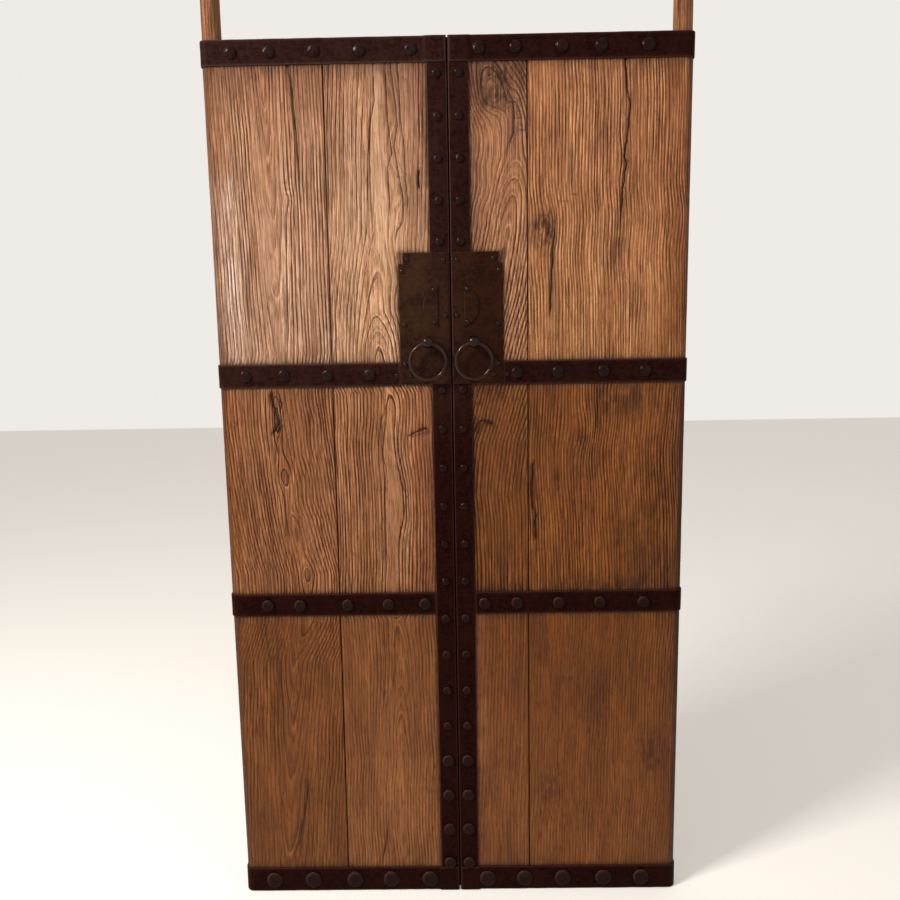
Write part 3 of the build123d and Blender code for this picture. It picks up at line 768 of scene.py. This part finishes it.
right_meeting = plank(
    "right", "meeting", seed=41, pitch=1.5, spacing=8.2, calm=9, bright=0.93,
    relief=[0.34, 0.4, 1.0, 1.05, 1.25, 1.25, 0.95],
    heart=[
        (0, -20, 10), (700, 0, 10), (1000, -6, 8), (1120, 6, 8), (1200, 26, 8), (1300, 60, 8),
        (1450, 100, 8), (1590, 128, 12), (1664, 139, 22), (1706, 143, 31), (1748, 145, 40),
        (1830, 138, 46), (2000, 60, 60),
    ],
    quiet=[],
    scars=[
        (144, 1829, 168, 1827, 1.5, 0.7, 0.8), (144, 1842, 168, 1845, 1.3, 0.6, 0.7),
        (146, 1862, 168, 1872, 1.3, 0.5, 0.7), (142, 1806, 166, 1803, 1.5, 0.6, 0.8),
        (148, 1818, 166, 1812, 1.2, 0.5, 0.6), (105, 1859, 140, 1838, 1.5, 0.45, 0.8),
        # The last three entries are painted shadow along the bent nail.
        (96, 1868, 138, 1846, 1.5, 0.45, 0.8), (90, 1166, 76, 1172, 4.2, 0.9, 0.6),
        (72, 1172, 58, 1166, 2.8, 0.85, 0.5), (58, 1166, 48, 1145, 2.4, 0.8, 0.5),
    ],
    warps=[(88, 1890, 34, 50, 24), (150, 1850, 16, 60, 12)],
    waves=[(70, 26, 1650, 1945, 2.6, 110)],
    cracks=[
        crack([(106, 1907), (130, 1889), (141, 1862), (144, 1831), (142, 1797), (126, 1756)], 1.3, 2.6,
              30, 0.6, 0.5),
    ],
    patches=[
        (96, 1898, 38, 46, 0.95, 0.6), (150, 1925, 28, 28, 0.6, 0.3), (110, 765, 90, 30, 0.5, 0.0),
        (70, 1225, 60, 20, 0.35, 0.0),
    ],
    tones=[
        (0, (136, 84, 42)), (690, (118, 66, 24)), (740, (128, 74, 28)), (1240, (130, 76, 32)),
        (1290, (170, 118, 82)), (1600, (176, 124, 88)), (1800, (168, 116, 82)), (1950, (140, 92, 62)),
    ],
    washes=[(60, 22, 60, 700, (150, 92, 56), 0.5)],
)

for each in (left_stile, left_meeting, right_stile, right_meeting):
    make_plank(each)

LEAVES = [NS(name="left", side=-1, seed=100), NS(name="right", side=1, seed=200)]


def plain_layers(ring, stain, tint, opened):
    """Layers of a wooden piece without cracks or changes of grain."""
    count = ring.size
    return {
        "ring": ring.ravel(), "stain": np.clip(stain.ravel(), 0, 1), "tint": tint.reshape(-1, 3),
        "open": np.full(count, opened), "slope": np.ones(count), "gap": np.full(count, NO_CRACK),
        "width": np.zeros(count),
    }


def make_pivot(leaf):
    """The round pivot carved on the stile's head, with its own grain and small splits."""
    centre_x, centre_y, radius, top = leaf.side * 507.5, 4.5, 21.0, 2119.8
    split_at = 3.9 * leaf.side
    rows = [(1999.0, 0.0)] + [(z, 0.0) for z in np.linspace(2003, 2113, 34)]
    rows += [(top + 4 * (math.sin(t) - 1), 4 * (1 - math.cos(t))) for t in np.radians((5, 25, 45, 65, 88))]
    rows += [(top, 8.0), (top, 14.0)]
    z, inset = (np.array(column)[:, None] for column in zip(*rows))
    angle = circle(72)[None, :]
    z = np.broadcast_to(z, (len(rows), angle.size))
    u = angle * radius
    h = 0.35 + 0.3 * noise(u / 3.5, z / 40, 71) + 0.25 * noise(u / 11, z / 60, 72)
    split = (angle - split_at + 0.02 * noise(z / 20, u * 0, 73) + math.pi) % (2 * math.pi) - math.pi
    split = bell(split * radius / 1.6)
    r = radius - inset - np.clip(h + 2.2 * split * step(2010, 2060, z), 0, 3)
    x, y = centre_x + r * np.cos(angle), centre_y + r * np.sin(angle)
    ring = (x + 0.5 * y) / 7.5 + 0.25 * noise(x / 14, z / 150, 74)
    stain = 0.75 * split + 0.12 * (1 + noise(u / 9, z / 30, 75))
    layers = plain_layers(ring, stain, np.tile(srgb((150, 98, 58)), (ring.size, 1)), 0.6)
    make_piece(f"{leaf.name}_pivot", places(x, y, z), tube_faces(len(rows), angle.size), f"{leaf.name}_leaf",
               wood, f"{leaf.name}_stile_plank", 50, layers)


for leaf in LEAVES:
    make_pivot(leaf)


# Iron
def forged(leaf, what, points, faces, edge, material, slot="strap_iron", sharp=40, body="leaf"):
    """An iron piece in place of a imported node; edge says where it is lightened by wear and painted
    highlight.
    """
    node = f"{leaf.name}_{what}"
    body = f"{leaf.name}_{body}"
    make_piece(node + "_forged", points, faces, body, material, node, sharp, {"edge": edge})


def hammered(u, v, seed):
    """Depth of the hammer marks, never above the flat face."""
    marks = 0.20 * (1 + noise(u / 17, v / 15, seed)) + 0.08 * (1 + noise(u / 6, v / 6, seed + 1))
    return marks + 0.03 * (1 + noise(u / 2.2, v / 2.2, seed + 2))


def strap_path(end, lapped):
    """Stations along a strap's outer face: |X|, y, and the outward normal."""
    corner = OUTER - EDGE_ROUNDING
    radius = EDGE_ROUNDING + IRON
    front, back = WOOD_FRONT + EDGE_ROUNDING, WOOD_BACK - EDGE_ROUNDING
    stations = []
    for a in np.arange(end, corner, 4.0):
        lift = IRON * float(step(JOGGLE + 1.5, JOGGLE - 3.5, a)) if lapped else 0.0
        stations.append((a, IRON_FRONT - lift, 0.0, -1.0))
    for t in np.radians(np.arange(0, 91, 10)):
        na, ny = math.sin(t), math.cos(t)
        stations.append((corner + radius * na, front - radius * ny, na, -ny))
    for y in np.linspace(front, back, 4)[1:-1]:
        stations.append((OUTER + IRON, y, 1.0, 0.0))
    for t in np.radians(np.arange(90, -1, -10)):
        na, ny = math.sin(t), math.cos(t)
        stations.append((corner + radius * na, back + radius * ny, na, ny))
    for a in np.linspace(corner, OUTER - 38, 7)[1:]:
        stations.append((a, WOOD_BACK + IRON, 0.0, 1.0))
    return stations


def make_strap(leaf, name, seed):
    """Hammered strap with wandering edges, folded round the outer edge on to the back."""
    level, height, end = STRAPS[name]
    stations = strap_path(end, lapped=name in ("head", "foot"))
    rise = np.concatenate([[0.25, 0.9], np.linspace(2.2, height - 2.2, 14), [height - 0.9, height - 0.25]])
    rim = np.array([0.9, 0.25] + [0.0] * 14 + [0.25, 0.9])
    # The strap's top and bottom edges and its ends are lighter: wear and painted highlight.
    wear_and_highlight = np.array([0.9, 1.0, 0.25] + [0.0] * 12 + [0.25, 1.0, 0.9])
    back_rise = np.linspace(height - 0.25, 0.25, 5)
    flat = np.ones(5)
    share = rise / height
    points, edges, run = [], [], 0.0
    for k, (a, y, na, ny) in enumerate(stations):
        if k:
            run += math.hypot(a - stations[k - 1][0], y - stations[k - 1][1])
        low = 0.30 * (1 + noise(run / 21, 0.0, seed + 6)) * (1 - share) * (share < 0.5)
        high = 0.30 * (1 + noise(run / 21, 5.0, seed + 7)) * share * (share > 0.5)
        at_end = k in (0, len(stations) - 1)
        depth = rim + hammered(run, rise, seed) + 0.8 * at_end
        outer = np.stack([a - na * depth, y - ny * depth, level + rise + low - high], -1)
        inner = np.stack([(a - na * IRON) * flat, (y - ny * IRON) * flat, level + back_rise], -1)
        points += [outer, inner]
        edges += [np.maximum(wear_and_highlight, 0.8 * at_end), 0 * flat]
    points = np.vstack(points) * (leaf.side, 1, 1)
    faces = tube_faces(len(stations), len(rise) + len(flat))
    forged(leaf, "strap_" + name, points, faces, np.concatenate(edges), strap_iron)


def make_angle(leaf):
    """Angle folded round the meeting edge; its flange carries the studs."""
    seed = leaf.seed + 50
    fold, ridge = 2.5, 1.46
    # Round the section: |X|, y from the wood's face, how far the edge wanders, and how much it is lightened
    # by wear and painted highlight
    tip = FLANGE_END
    loop = [(tip, -0.3, 1.0, 0.5), (tip - 0.1, -1.6, 1.0, 0.9), (tip - 0.9, -2.75, 1.0, 1.0)]
    loop += [(a, -IRON, 0.0, 0.0) for a in np.linspace(tip - 2.2, EDGE_FACE + fold, 12)]
    for t in np.radians((25, 50, 75)):
        loop.append((EDGE_FACE + fold * (1 - math.sin(t)), -IRON + fold * (1 - math.cos(t)), 0.0, 0.8))
    for y in (0.0, 6.0, 12.0, 13.0, 18.0, 27.0, 32.0, 33.0, 39.0, WOOD_DEPTH):
        loop.append((EDGE_FACE - ridge * (12.5 < y < 32.5), y, 0.0, 0.0))
    loop += [(WOOD_INNER, y, 0.0, 0.0) for y in np.linspace(WOOD_DEPTH, 0, 4)]
    loop += [(a, 0.0, 0.0, 0.0) for a in np.linspace(12, tip - 8, 4)]
    a, y, wanders, edge = np.array(loop).T
    front = (y <= -2.7) & (a < tip)
    z = np.concatenate([[0.3], np.arange(4.0, 1998, 6.0), [1999.7]])[:, None]
    pull = 0.4 * (1 + noise(z / 30, a * 0, seed + 3)) * wanders
    depth = WOOD_FRONT + y + hammered(a, z, seed) * front
    points = places(leaf.side * (a - pull), depth, z)
    forged(leaf, "edge_angle", points, tube_faces(len(z), len(a)), np.tile(edge, len(z)), strap_iron)


def plate_front(a):
    """Front of the lock plate, which bends softly down from the flange to the wood."""
    return IRON_FRONT - IRON * step(PLATE_BEND_END, JOGGLE - 3.0, a)


def open_edges(faces):
    """Edges that only one of the faces has, in the faces' direction."""
    edges = {}
    for q in faces:
        for p, r in zip(q, q[1:] + q[:1]):
            if (r, p) in edges:
                del edges[(r, p)]
            else:
                edges[(p, r)] = True
    return list(edges)


def make_lock_plate(leaf):
    """Hammered sheet over the cells of a grid, with a notched corner and slightly uneven edges."""
    seed = leaf.seed + 60
    xs = np.r_[4.0, 5.0, 7.0:45.0:2.6, 46.0:53.0:1.0, 54.5:104.0:2.6, 105.0, NOTCH_ACROSS, 107.0, 109.0,
               112.0, 115.0, PLATE_OUTER]
    zs = np.r_[PLATE_LOW, 1257.0, 1259.5:1520.0:2.8, 1522.0, 1523.0, NOTCH_LEVEL, 1525.0, 1528.0,
               1530.5:1546.0:2.8, 1547.0, PLATE_HIGH]
    mask = ~((xs[1:] > NOTCH_ACROSS) & (zs[1:, None] > NOTCH_LEVEL))
    cells = np.pad(mask, 1).astype(int)
    around = cells[:-1, :-1] + cells[:-1, 1:] + cells[1:, :-1] + cells[1:, 1:]
    used, border = around > 0, (around > 0) & (around < 4)
    gx, gz = np.meshgrid(xs, zs)
    pull = 0.35 * (1 + noise(gx / 13, gz / 13, seed + 9)) * border

    def wandering(grid, ends):
        off = grid - (ends[0] + ends[-1]) / 2
        return (grid - np.sign(off) * pull * (np.abs(off) > 0.3 * (ends[-1] - ends[0])))[used]

    x, z = leaf.side * wandering(gx, xs), wandering(gz, zs)
    front = (plate_front(gx) + hammered(gx, gz, seed) + 0.7 * border)[used]
    back = plate_front(gx)[used] + IRON
    points = np.vstack([places(x, front, z), places(x, back, z)])
    index = np.cumsum(used).reshape(used.shape) - 1
    corners = np.stack([index[:-1, :-1], index[:-1, 1:], index[1:, 1:], index[1:, :-1]], -1)
    fronts = [tuple(q) for q in corners[mask].tolist()]
    count = len(x)
    faces = fronts + [tuple(k + count for k in q[::-1]) for q in fronts]
    faces += [(q, p, p + count, q + count) for p, q in open_edges(fronts)]
    edge = np.concatenate([border[used], np.zeros(count)])
    forged(leaf, "lock_plate", points, faces, edge, plate_iron, sharp=50)


def make_half_moon(leaf):
    """Half-moon on the plate: rows between its chord and its bulging edge."""
    chord, bulge, low, high = 29.5, 61.5, 1385.0, 1476.0
    middle, half = (low + high) / 2, (high - low) / 2
    reach = bulge - chord
    radius = (half**2 + reach**2) / (2 * reach)
    columns = np.array([0.0, 0.03, 0.1, 0.2, 0.32, 0.45, 0.55, 0.68, 0.8, 0.9, 0.97, 1.0])
    z = middle + half * np.sin(np.radians(np.linspace(-88, 88, 40)))[:, None]
    arc = np.sqrt(np.maximum(radius**2 - (z - middle) ** 2, 0)) - (radius - reach)
    a = chord + np.maximum(arc, 0.4) * columns
    rim = 0.8 * ((columns == 0) | (columns == 1)) + 0.8 * (np.abs(z - middle) > half - 0.6)
    front = MOON_FRONT + rim + 0.6 * hammered(a, z, leaf.seed + 65)
    back = plate_front(a) + 0.2
    a = leaf.side * a
    points = places(np.hstack([a, a[:, ::-1]]), np.hstack([front, back[:, ::-1]]), z)
    edge = np.hstack([rim > 0, 0 * rim]).ravel()
    forged(leaf, "half_moon", points, tube_faces(len(z), 2 * len(columns)), edge, plate_iron)


def islands(node):
    """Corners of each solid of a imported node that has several, in millimetres."""
    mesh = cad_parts[node].data
    corners = np.array([v.co for v in mesh.vertices]) / MM
    keys = {}
    label = [keys.setdefault(tuple(p), len(keys)) for p in np.round(corners, 2).tolist()]
    parent = list(range(len(keys)))

    def find(k):
        while parent[k] != k:
            parent[k] = parent[parent[k]]
            k = parent[k]
        return k

    for e in mesh.edges:
        parent[find(label[e.vertices[0]])] = find(label[e.vertices[1]])
    groups = {}
    for k, p in enumerate(corners):
        groups.setdefault(find(label[k]), []).append(p)
    groups = [np.array(g) for g in groups.values()]
    return sorted(groups, key=lambda g: (round(g[:, 2].min(), 0), g[:, 0].min()))


def measured(group, head_ends):
    """Of one stud: X and Z of its middle, y under its head, its radius, rise and deepest y."""
    head = group[group[:, 1] < head_ends]
    low, high = head.min(0), head.max(0)
    x, _, z = (low + high) / 2
    return x, z, high[1], (high[0] - low[0]) / 2, high[1] - low[1], group[:, 1].max()


DOMED = [(1.0, 0.0), (1.0, 0.10), (0.975, 0.26), (0.90, 0.50), (0.78, 0.70), (0.60, 0.86), (0.40, 0.955),
         (0.20, 0.99)]
FLAT_TOPPED = [(1.0, 0.0), (1.0, 0.35), (0.975, 0.72), (0.93, 0.93), (0.85, 1.0), (0.6, 0.93), (0.35, 0.88),
               (0.15, 0.86)]


def forged_head(x, z, base, radius, rise, seed, columns=26, flat=False):
    """Domed or flat-topped head that stands on y = base, with its own dents."""
    angle = circle(columns)
    cos, sin = np.cos(angle), np.sin(angle)
    lean = 0.10 * (hashed(seed, 1.0, 5.0) - 0.5)
    rows = FLAT_TOPPED if flat else DOMED
    points, edge = [], []
    for share, up in rows:
        r = radius * share * (1 - 0.05 * (1 + noise(cos * 1.6 + seed, sin * 1.6, seed)) * (share > 0.3))
        dent = 0.10 * (1 + noise(cos * share * 3 + seed * 3, sin * share * 3, seed + 2))
        tall = rise * (up - (dent * 0.9 - lean * share * cos) * (up > 0.2))
        points.append(places(x + r * cos, base - np.clip(tall, 0, rise), z + r * sin))
        # Painted highlight: flat heads get a lighter rim on the upper left, where the light falls.
        upper_left_highlight = np.clip(np.cos(angle - math.radians(130)), 0, 1)
        edge.append(1.1 * upper_left_highlight * (0.84 < share < 0.99) * flat)
    return np.vstack(points), tube_faces(len(rows), columns), np.concatenate(edge)


def square_shank(x, z, half, base, back):
    """Shank that starts just inside its head and tapers a little."""
    front = base + 0.05
    corners = np.array([(-half, -half), (half, -half), (half, half), (-half, half)])
    rows = []
    for y, k in ((front, 1.0), ((front + back) / 2, 0.97), (back, 0.92)):
        rows += [(x + k * dx, y, z + k * dz) for dx, dz in corners]
    return rows, tube_faces(3, 4), np.zeros(12)


def flat_bar(x, y, z, half, tall):
    """Section of iron that lies flat on the face at y."""
    return [(x - half, y, z), (x - half * 0.8, y + tall, z), (x + half * 0.8, y + tall, z), (x + half, y, z)]


def turned_tail(x, z):
    """The shank's end hammered flat on the batten, with a rounded tip."""
    thick, length = 2.5, 20.0
    rows = []
    for t in np.linspace(0, 1, 7):
        half = 3.0 + 0.6 * math.sin(math.pi * t) - 1.2 * (t > 0.9)
        rows += flat_bar(x, BATTEN_BACK, z + 3.0 - length * t, half, thick * (1 - 0.35 * t))
    return rows, tube_faces(7, 4), np.tile([0.2, 0.6, 0.6, 0.2], 7)


def make_studs(leaf, what, wide, seed):
    """Heads, shanks and turned-over ends of the studs of a node, each a little different."""
    parts = []
    for k, group in enumerate(islands(f"{leaf.name}_{what}")):
        x, z, base, radius, rise, back = measured(group, IRON_FRONT + 0.5)
        spread = wide if z < WIDE_STUDS else 0.93 + 0.07 * hashed(k, 1.0, seed)
        parts.append(forged_head(x, z, base, radius * spread, rise, seed + k, flat=z < LOW_STUDS))
        clenched = what == "strap_studs"
        parts.append(square_shank(x, z, 3.0, base, BATTEN_BACK + 0.1 if clenched else back - 0.1))
        if clenched:
            parts.append(turned_tail(x, z))
    forged(leaf, what, *joined(parts), stud_iron, "stud_iron", 45)


def make_nails(leaf):
    """Small domed nails of the lock plate and the half-moon."""
    seed = leaf.seed + 90
    parts = []
    for k, group in enumerate(islands(f"{leaf.name}_plate_nails")):
        x, z, base, _, rise, back = measured(group, group[:, 1].min() + 3.6)
        parts.append(forged_head(x, z, base, 5.3 + 0.5 * hashed(k, 2.0, seed), rise, seed + k, 18))
        parts.append(square_shank(x, z, 1.45, base, back - 0.1))
    forged(leaf, "plate_nails", *joined(parts), ring_iron, "stud_iron", 45)


def box_mm(node):
    low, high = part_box(node)
    return np.array(low) / MM, np.array(high) / MM


def make_eye(leaf):
    """Forged eye: a ball-like loop, its shank, and two legs spread on the back."""
    low, high = box_mm(f"{leaf.name}_ring_eye")
    radius, half = 13.5, 10.0
    cx, cy, cz = (low[0] + high[0]) / 2, low[1] + radius, EYE_LEVEL
    outside = half * np.sin(np.radians(np.linspace(-90, 90, 11)))
    section = [(w, math.sqrt(radius**2 - 0.92 * w**2)) for w in outside]
    section += [(9.3, 9.7), (7.5, 9.3), (3.0, 9.1), (-3.0, 9.1), (-7.5, 9.3), (-9.3, 9.7)]
    w, r = np.array(section).T
    a = circle(48)[:, None]
    r = r - 0.12 * (1 + noise(a * 3.0, w / 4, leaf.seed + 95)) * (r > 10.5)
    loop = places(cx + w, cy + r * np.cos(a), cz + r * np.sin(a))
    parts = [(loop, tube_faces(len(a), len(w), True), np.zeros(len(loop)))]
    t = circle(12) + math.radians(15)
    y = np.array([cy + 9.8, cy + 13.5, cy + 17.0, WOOD_BACK + 4.0])[:, None]
    wide = np.array([4.4, 3.6, 3.4, 3.4])[:, None]
    tall = np.array([6.0, 4.8, 4.4, 4.4])[:, None]
    shank = places(cx + wide * np.cos(t), y, cz + tall * np.sin(t))
    parts.append((shank, tube_faces(4, 12), np.zeros(48)))
    for way in (-1, 1):
        rows = []
        for t in np.linspace(0, 1, 8):
            rows += flat_bar(cx, WOOD_BACK, cz + way * (2.0 + 30.0 * t), 3.5 - 1.2 * t, 4.0 - 1.3 * t)
        parts.append((rows, tube_faces(8, 4), np.full(32, 0.3)))
    forged(leaf, "ring_eye", *joined(parts), ring_iron, "ring_iron", 45)


def make_ring(leaf):
    """Ring of forged bar, slightly uneven round its length."""
    seed = leaf.seed + 97
    low, high = box_mm(f"{leaf.name}_ring")
    cx, cy, cz = (low + high) / 2
    radius, bar = 39.5, 4.0
    a, b = circle(120)[:, None], circle(16)
    thick = bar - 0.12 * (1 + noise(a * 9.0, b * 1.2, seed + 1))
    r = radius + 0.12 * noise(a * 2.0, 0.0, seed) + thick * np.cos(b)
    points = places(cx + r * np.cos(a), cy + thick * np.sin(b), cz + r * np.sin(a))
    # Wear and painted highlight: the bar is lighter along its outer front.
    edge = np.tile(0.9 * np.maximum(0.0, np.cos(b + 0.5)) ** 6, len(a))
    faces = tube_faces(a.size, b.size, True)
    forged(leaf, "ring", points, faces, edge, ring_iron, "ring_iron", 45, body="ring_pull")


def smooth_path(points):
    """Catmull-Rom curve through the points, six steps to each span."""
    path = []
    for k in range(len(points) - 1):
        p0, p3 = points[max(k - 1, 0)], points[min(k + 2, len(points) - 1)]
        p1, p2 = points[k], points[k + 1]
        for t in np.linspace(0, 1, 6, endpoint=False):
            bend = (2 * p0 - 5 * p1 + 4 * p2 - p3) * t * t + (3 * p1 - p0 - 3 * p2 + p3) * t**3
            path.append(0.5 * (2 * p1 + (p2 - p0) * t + bend))
    return path + [points[-1]]


def make_bent_nail(leaf, route, head_end):
    """Old nail bent over along the wood; one end can keep its full thickness like a head."""
    path = smooth_path([Vector((leaf.side * a, WOOD_FRONT - out, z)) for a, z, out in route])
    last = len(path) - 1
    rows = []
    for k, p in enumerate(path):
        ahead = (path[min(k + 1, last)] - path[max(k - 1, 0)]).normalized()
        across = ahead.cross(Vector((0, 1, 0))).normalized() if abs(ahead.y) < 0.95 else Vector((1, 0, 0))
        up = across.cross(ahead).normalized()
        share = k / last
        r = 1.7 if head_end and share > 0.86 else 1.7 * (1 - 0.35 * share)
        rows += [tuple(p + across * r * math.cos(b) + up * r * math.sin(b)) for b in circle(8)]
    faces = tube_faces(len(path), 8)
    forged(leaf, "bent_nail", rows, faces, np.full(len(rows), 0.3), strap_iron, "stud_iron", 45)


def make_batten(leaf, name, seed):
    """Batten on the back, with its own grain and softened edges."""
    node = f"{leaf.name}_batten_{name}"
    low, high = box_mm(node)
    _, d, h = high - low
    c = 5.0
    section = [(0.0, t) for t in np.linspace(0, h, 5)] + [(d - c, h), (d - 0.5 * c, h - 0.35 * c)]
    section += [(d, t) for t in np.linspace(h - c, c, 20)] + [(d - 0.5 * c, 0.35 * c), (d - c, 0.0)]
    yy, tt = np.array(section).T
    x = np.linspace(low[0], high[0], 90)[:, None]
    s = (tt + 4.0 * noise(x / 130, tt / 30, seed)) / 7.0
    part = s - np.floor(s)
    end = np.zeros_like(x)
    end[[0, -1]] = 0.6
    free = yy > 1
    dent = (0.15 + 0.5 * step(0.45, 0.7, part) * step(1.0, 0.85, part)) * free
    dent = dent + 0.2 * (1 + noise(x / 40, tt / 3, seed + 1)) * free
    y = np.where(yy > d - 0.1, yy - dent - end, yy)
    z = np.clip(tt, 0.3 * free + end, h - 0.3 * free - end)
    points = places(np.clip(x, low[0] + end * 0.5, high[0] - end * 0.5), low[1] + y, low[2] + z)
    stain = 0.10 * (1 + fractal(x / 60, tt / 20, seed + 2))
    tint = srgb((132, 92, 62)) * (1 + 0.1 * noise(x / 50, tt / 18, seed + 3))[..., None]
    make_piece(node + "_grain", points, tube_faces(x.size, yy.size), f"{leaf.name}_leaf", batten_wood, node,
               45, plain_layers(s, stain, tint, 0.7))


# Of each bent nail: |X|, Z and how far out of the wood it stands
NAIL_ROUTES = {
    "left": [(62, 1156, -18), (62, 1156, 4), (66, 1155, 6), (80, 1150, 5), (99, 1140, 2)],
    "right": [(88, 1165, -18), (88, 1165, 4), (84, 1167, 7), (76, 1170, 7), (62, 1172, 5), (50, 1146, 3)],
}

for leaf in LEAVES:
    for k, strap in enumerate(STRAPS):
        make_strap(leaf, strap, leaf.seed + 7 * k)
        make_batten(leaf, strap, leaf.seed + 40 + k)
    make_angle(leaf)
    make_lock_plate(leaf)
    make_half_moon(leaf)
    make_studs(leaf, "strap_studs", 1.22, leaf.seed + 70)
    make_studs(leaf, "edge_studs", 1.40, leaf.seed + 80)
    make_nails(leaf)
    make_eye(leaf)
    make_ring(leaf)
    make_bent_nail(leaf, NAIL_ROUTES[leaf.name], head_end=leaf.name == "right")
    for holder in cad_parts[f"{leaf.name}_loose_tongue"].material_slots:
        holder.material = tongue_wood


# Stage, light and camera
BACKDROP = (0.86, 0.83, 0.79)
STAGE_HALF = 9.0
STAGE_TOP = -0.0005


def looked_at(n):
    """One for rays that show a surface: from the camera, or through a reflection or glass."""
    path = n.add("ShaderNodeLightPath", {}).outputs
    mirrored = n.math("MAXIMUM", path["Is Glossy Ray"], path["Is Transmission Ray"])
    return n.math("MAXIMUM", path["Is Camera Ray"], mirrored)


def make_stage():
    n = Nodes(bpy.data.materials.new("pale_floor"))
    glow = n.times(looked_at(n), 0.28)
    pale = n.material(Base_Color=BACKDROP, Roughness=0.8, Emission_Color=BACKDROP, Emission_Strength=glow)
    mesh = bpy.data.meshes.new("floor")
    corners = [(x * STAGE_HALF, y * STAGE_HALF, STAGE_TOP) for x, y in ((-1, -1), (1, -1), (1, 1), (-1, 1))]
    mesh.from_pydata(corners, [], [(0, 1, 2, 3)])
    mesh.materials.append(pale)
    floor = bpy.data.objects.new("floor", mesh)
    bpy.context.scene.collection.objects.link(floor)


def make_world():
    """Soft warm light all round; rays that look at it see the plain backdrop."""
    n = Nodes(bpy.data.worlds.new("world"))
    soft = n.add("ShaderNodeBackground", {"Color": (1.0, 0.94, 0.86), "Strength": 0.44})
    seen = n.add("ShaderNodeBackground", {"Color": BACKDROP, "Strength": 1.0})
    shown = n.add("ShaderNodeMixShader", {0: looked_at(n), 1: soft.outputs[0], 2: seen.outputs[0]})
    bpy.context.scene.world = n.close("ShaderNodeOutputWorld", shown)


def area_light(name, place, target, size, power, colour):
    data = bpy.data.lights.new(name, "AREA")
    data.shape = "SQUARE"
    data.size = size
    data.energy = power
    data.color = colour
    light = bpy.data.objects.new(name, data)
    bpy.context.scene.collection.objects.link(light)
    light.location = place
    light.rotation_mode = "QUATERNION"
    light.rotation_quaternion = (Vector(target) - Vector(place)).to_track_quat("-Z", "Y")


def make_camera(place, yaw, pitch, roll, focal_share):
    """Camera that looks along +Y, turned by its angles in degrees; focal_share is of the picture's width."""
    turn = Matrix.Rotation(math.radians(-yaw), 3, "Z") @ Matrix.Rotation(math.radians(90 - pitch), 3, "X")
    turn = turn @ Matrix.Rotation(math.radians(roll), 3, "Z")
    data = bpy.data.cameras.new("camera")
    data.sensor_width = 36.0
    data.lens = focal_share * data.sensor_width
    camera = bpy.data.objects.new("camera", data)
    bpy.context.scene.collection.objects.link(camera)
    camera.rotation_mode = "QUATERNION"
    camera.location = place
    camera.rotation_quaternion = turn.to_quaternion()
    bpy.context.scene.camera = camera


make_stage()
make_world()
area_light("key", (-2.5, -1.75, 3.4), (-0.1, 0.0, 1.25), size=0.9, power=158.0, colour=(1.0, 0.965, 0.91))
area_light("fill", (2.6, -3.2, 1.8), (0.0, 0.0, 0.9), size=2.2, power=14.0, colour=(1.0, 0.95, 0.9))
make_camera((0.0170, -2.0086, 1.4213), yaw=-0.704, pitch=9.037, roll=-0.971, focal_share=880 / 900)
bpy.context.scene.view_settings.view_transform = "Standard"
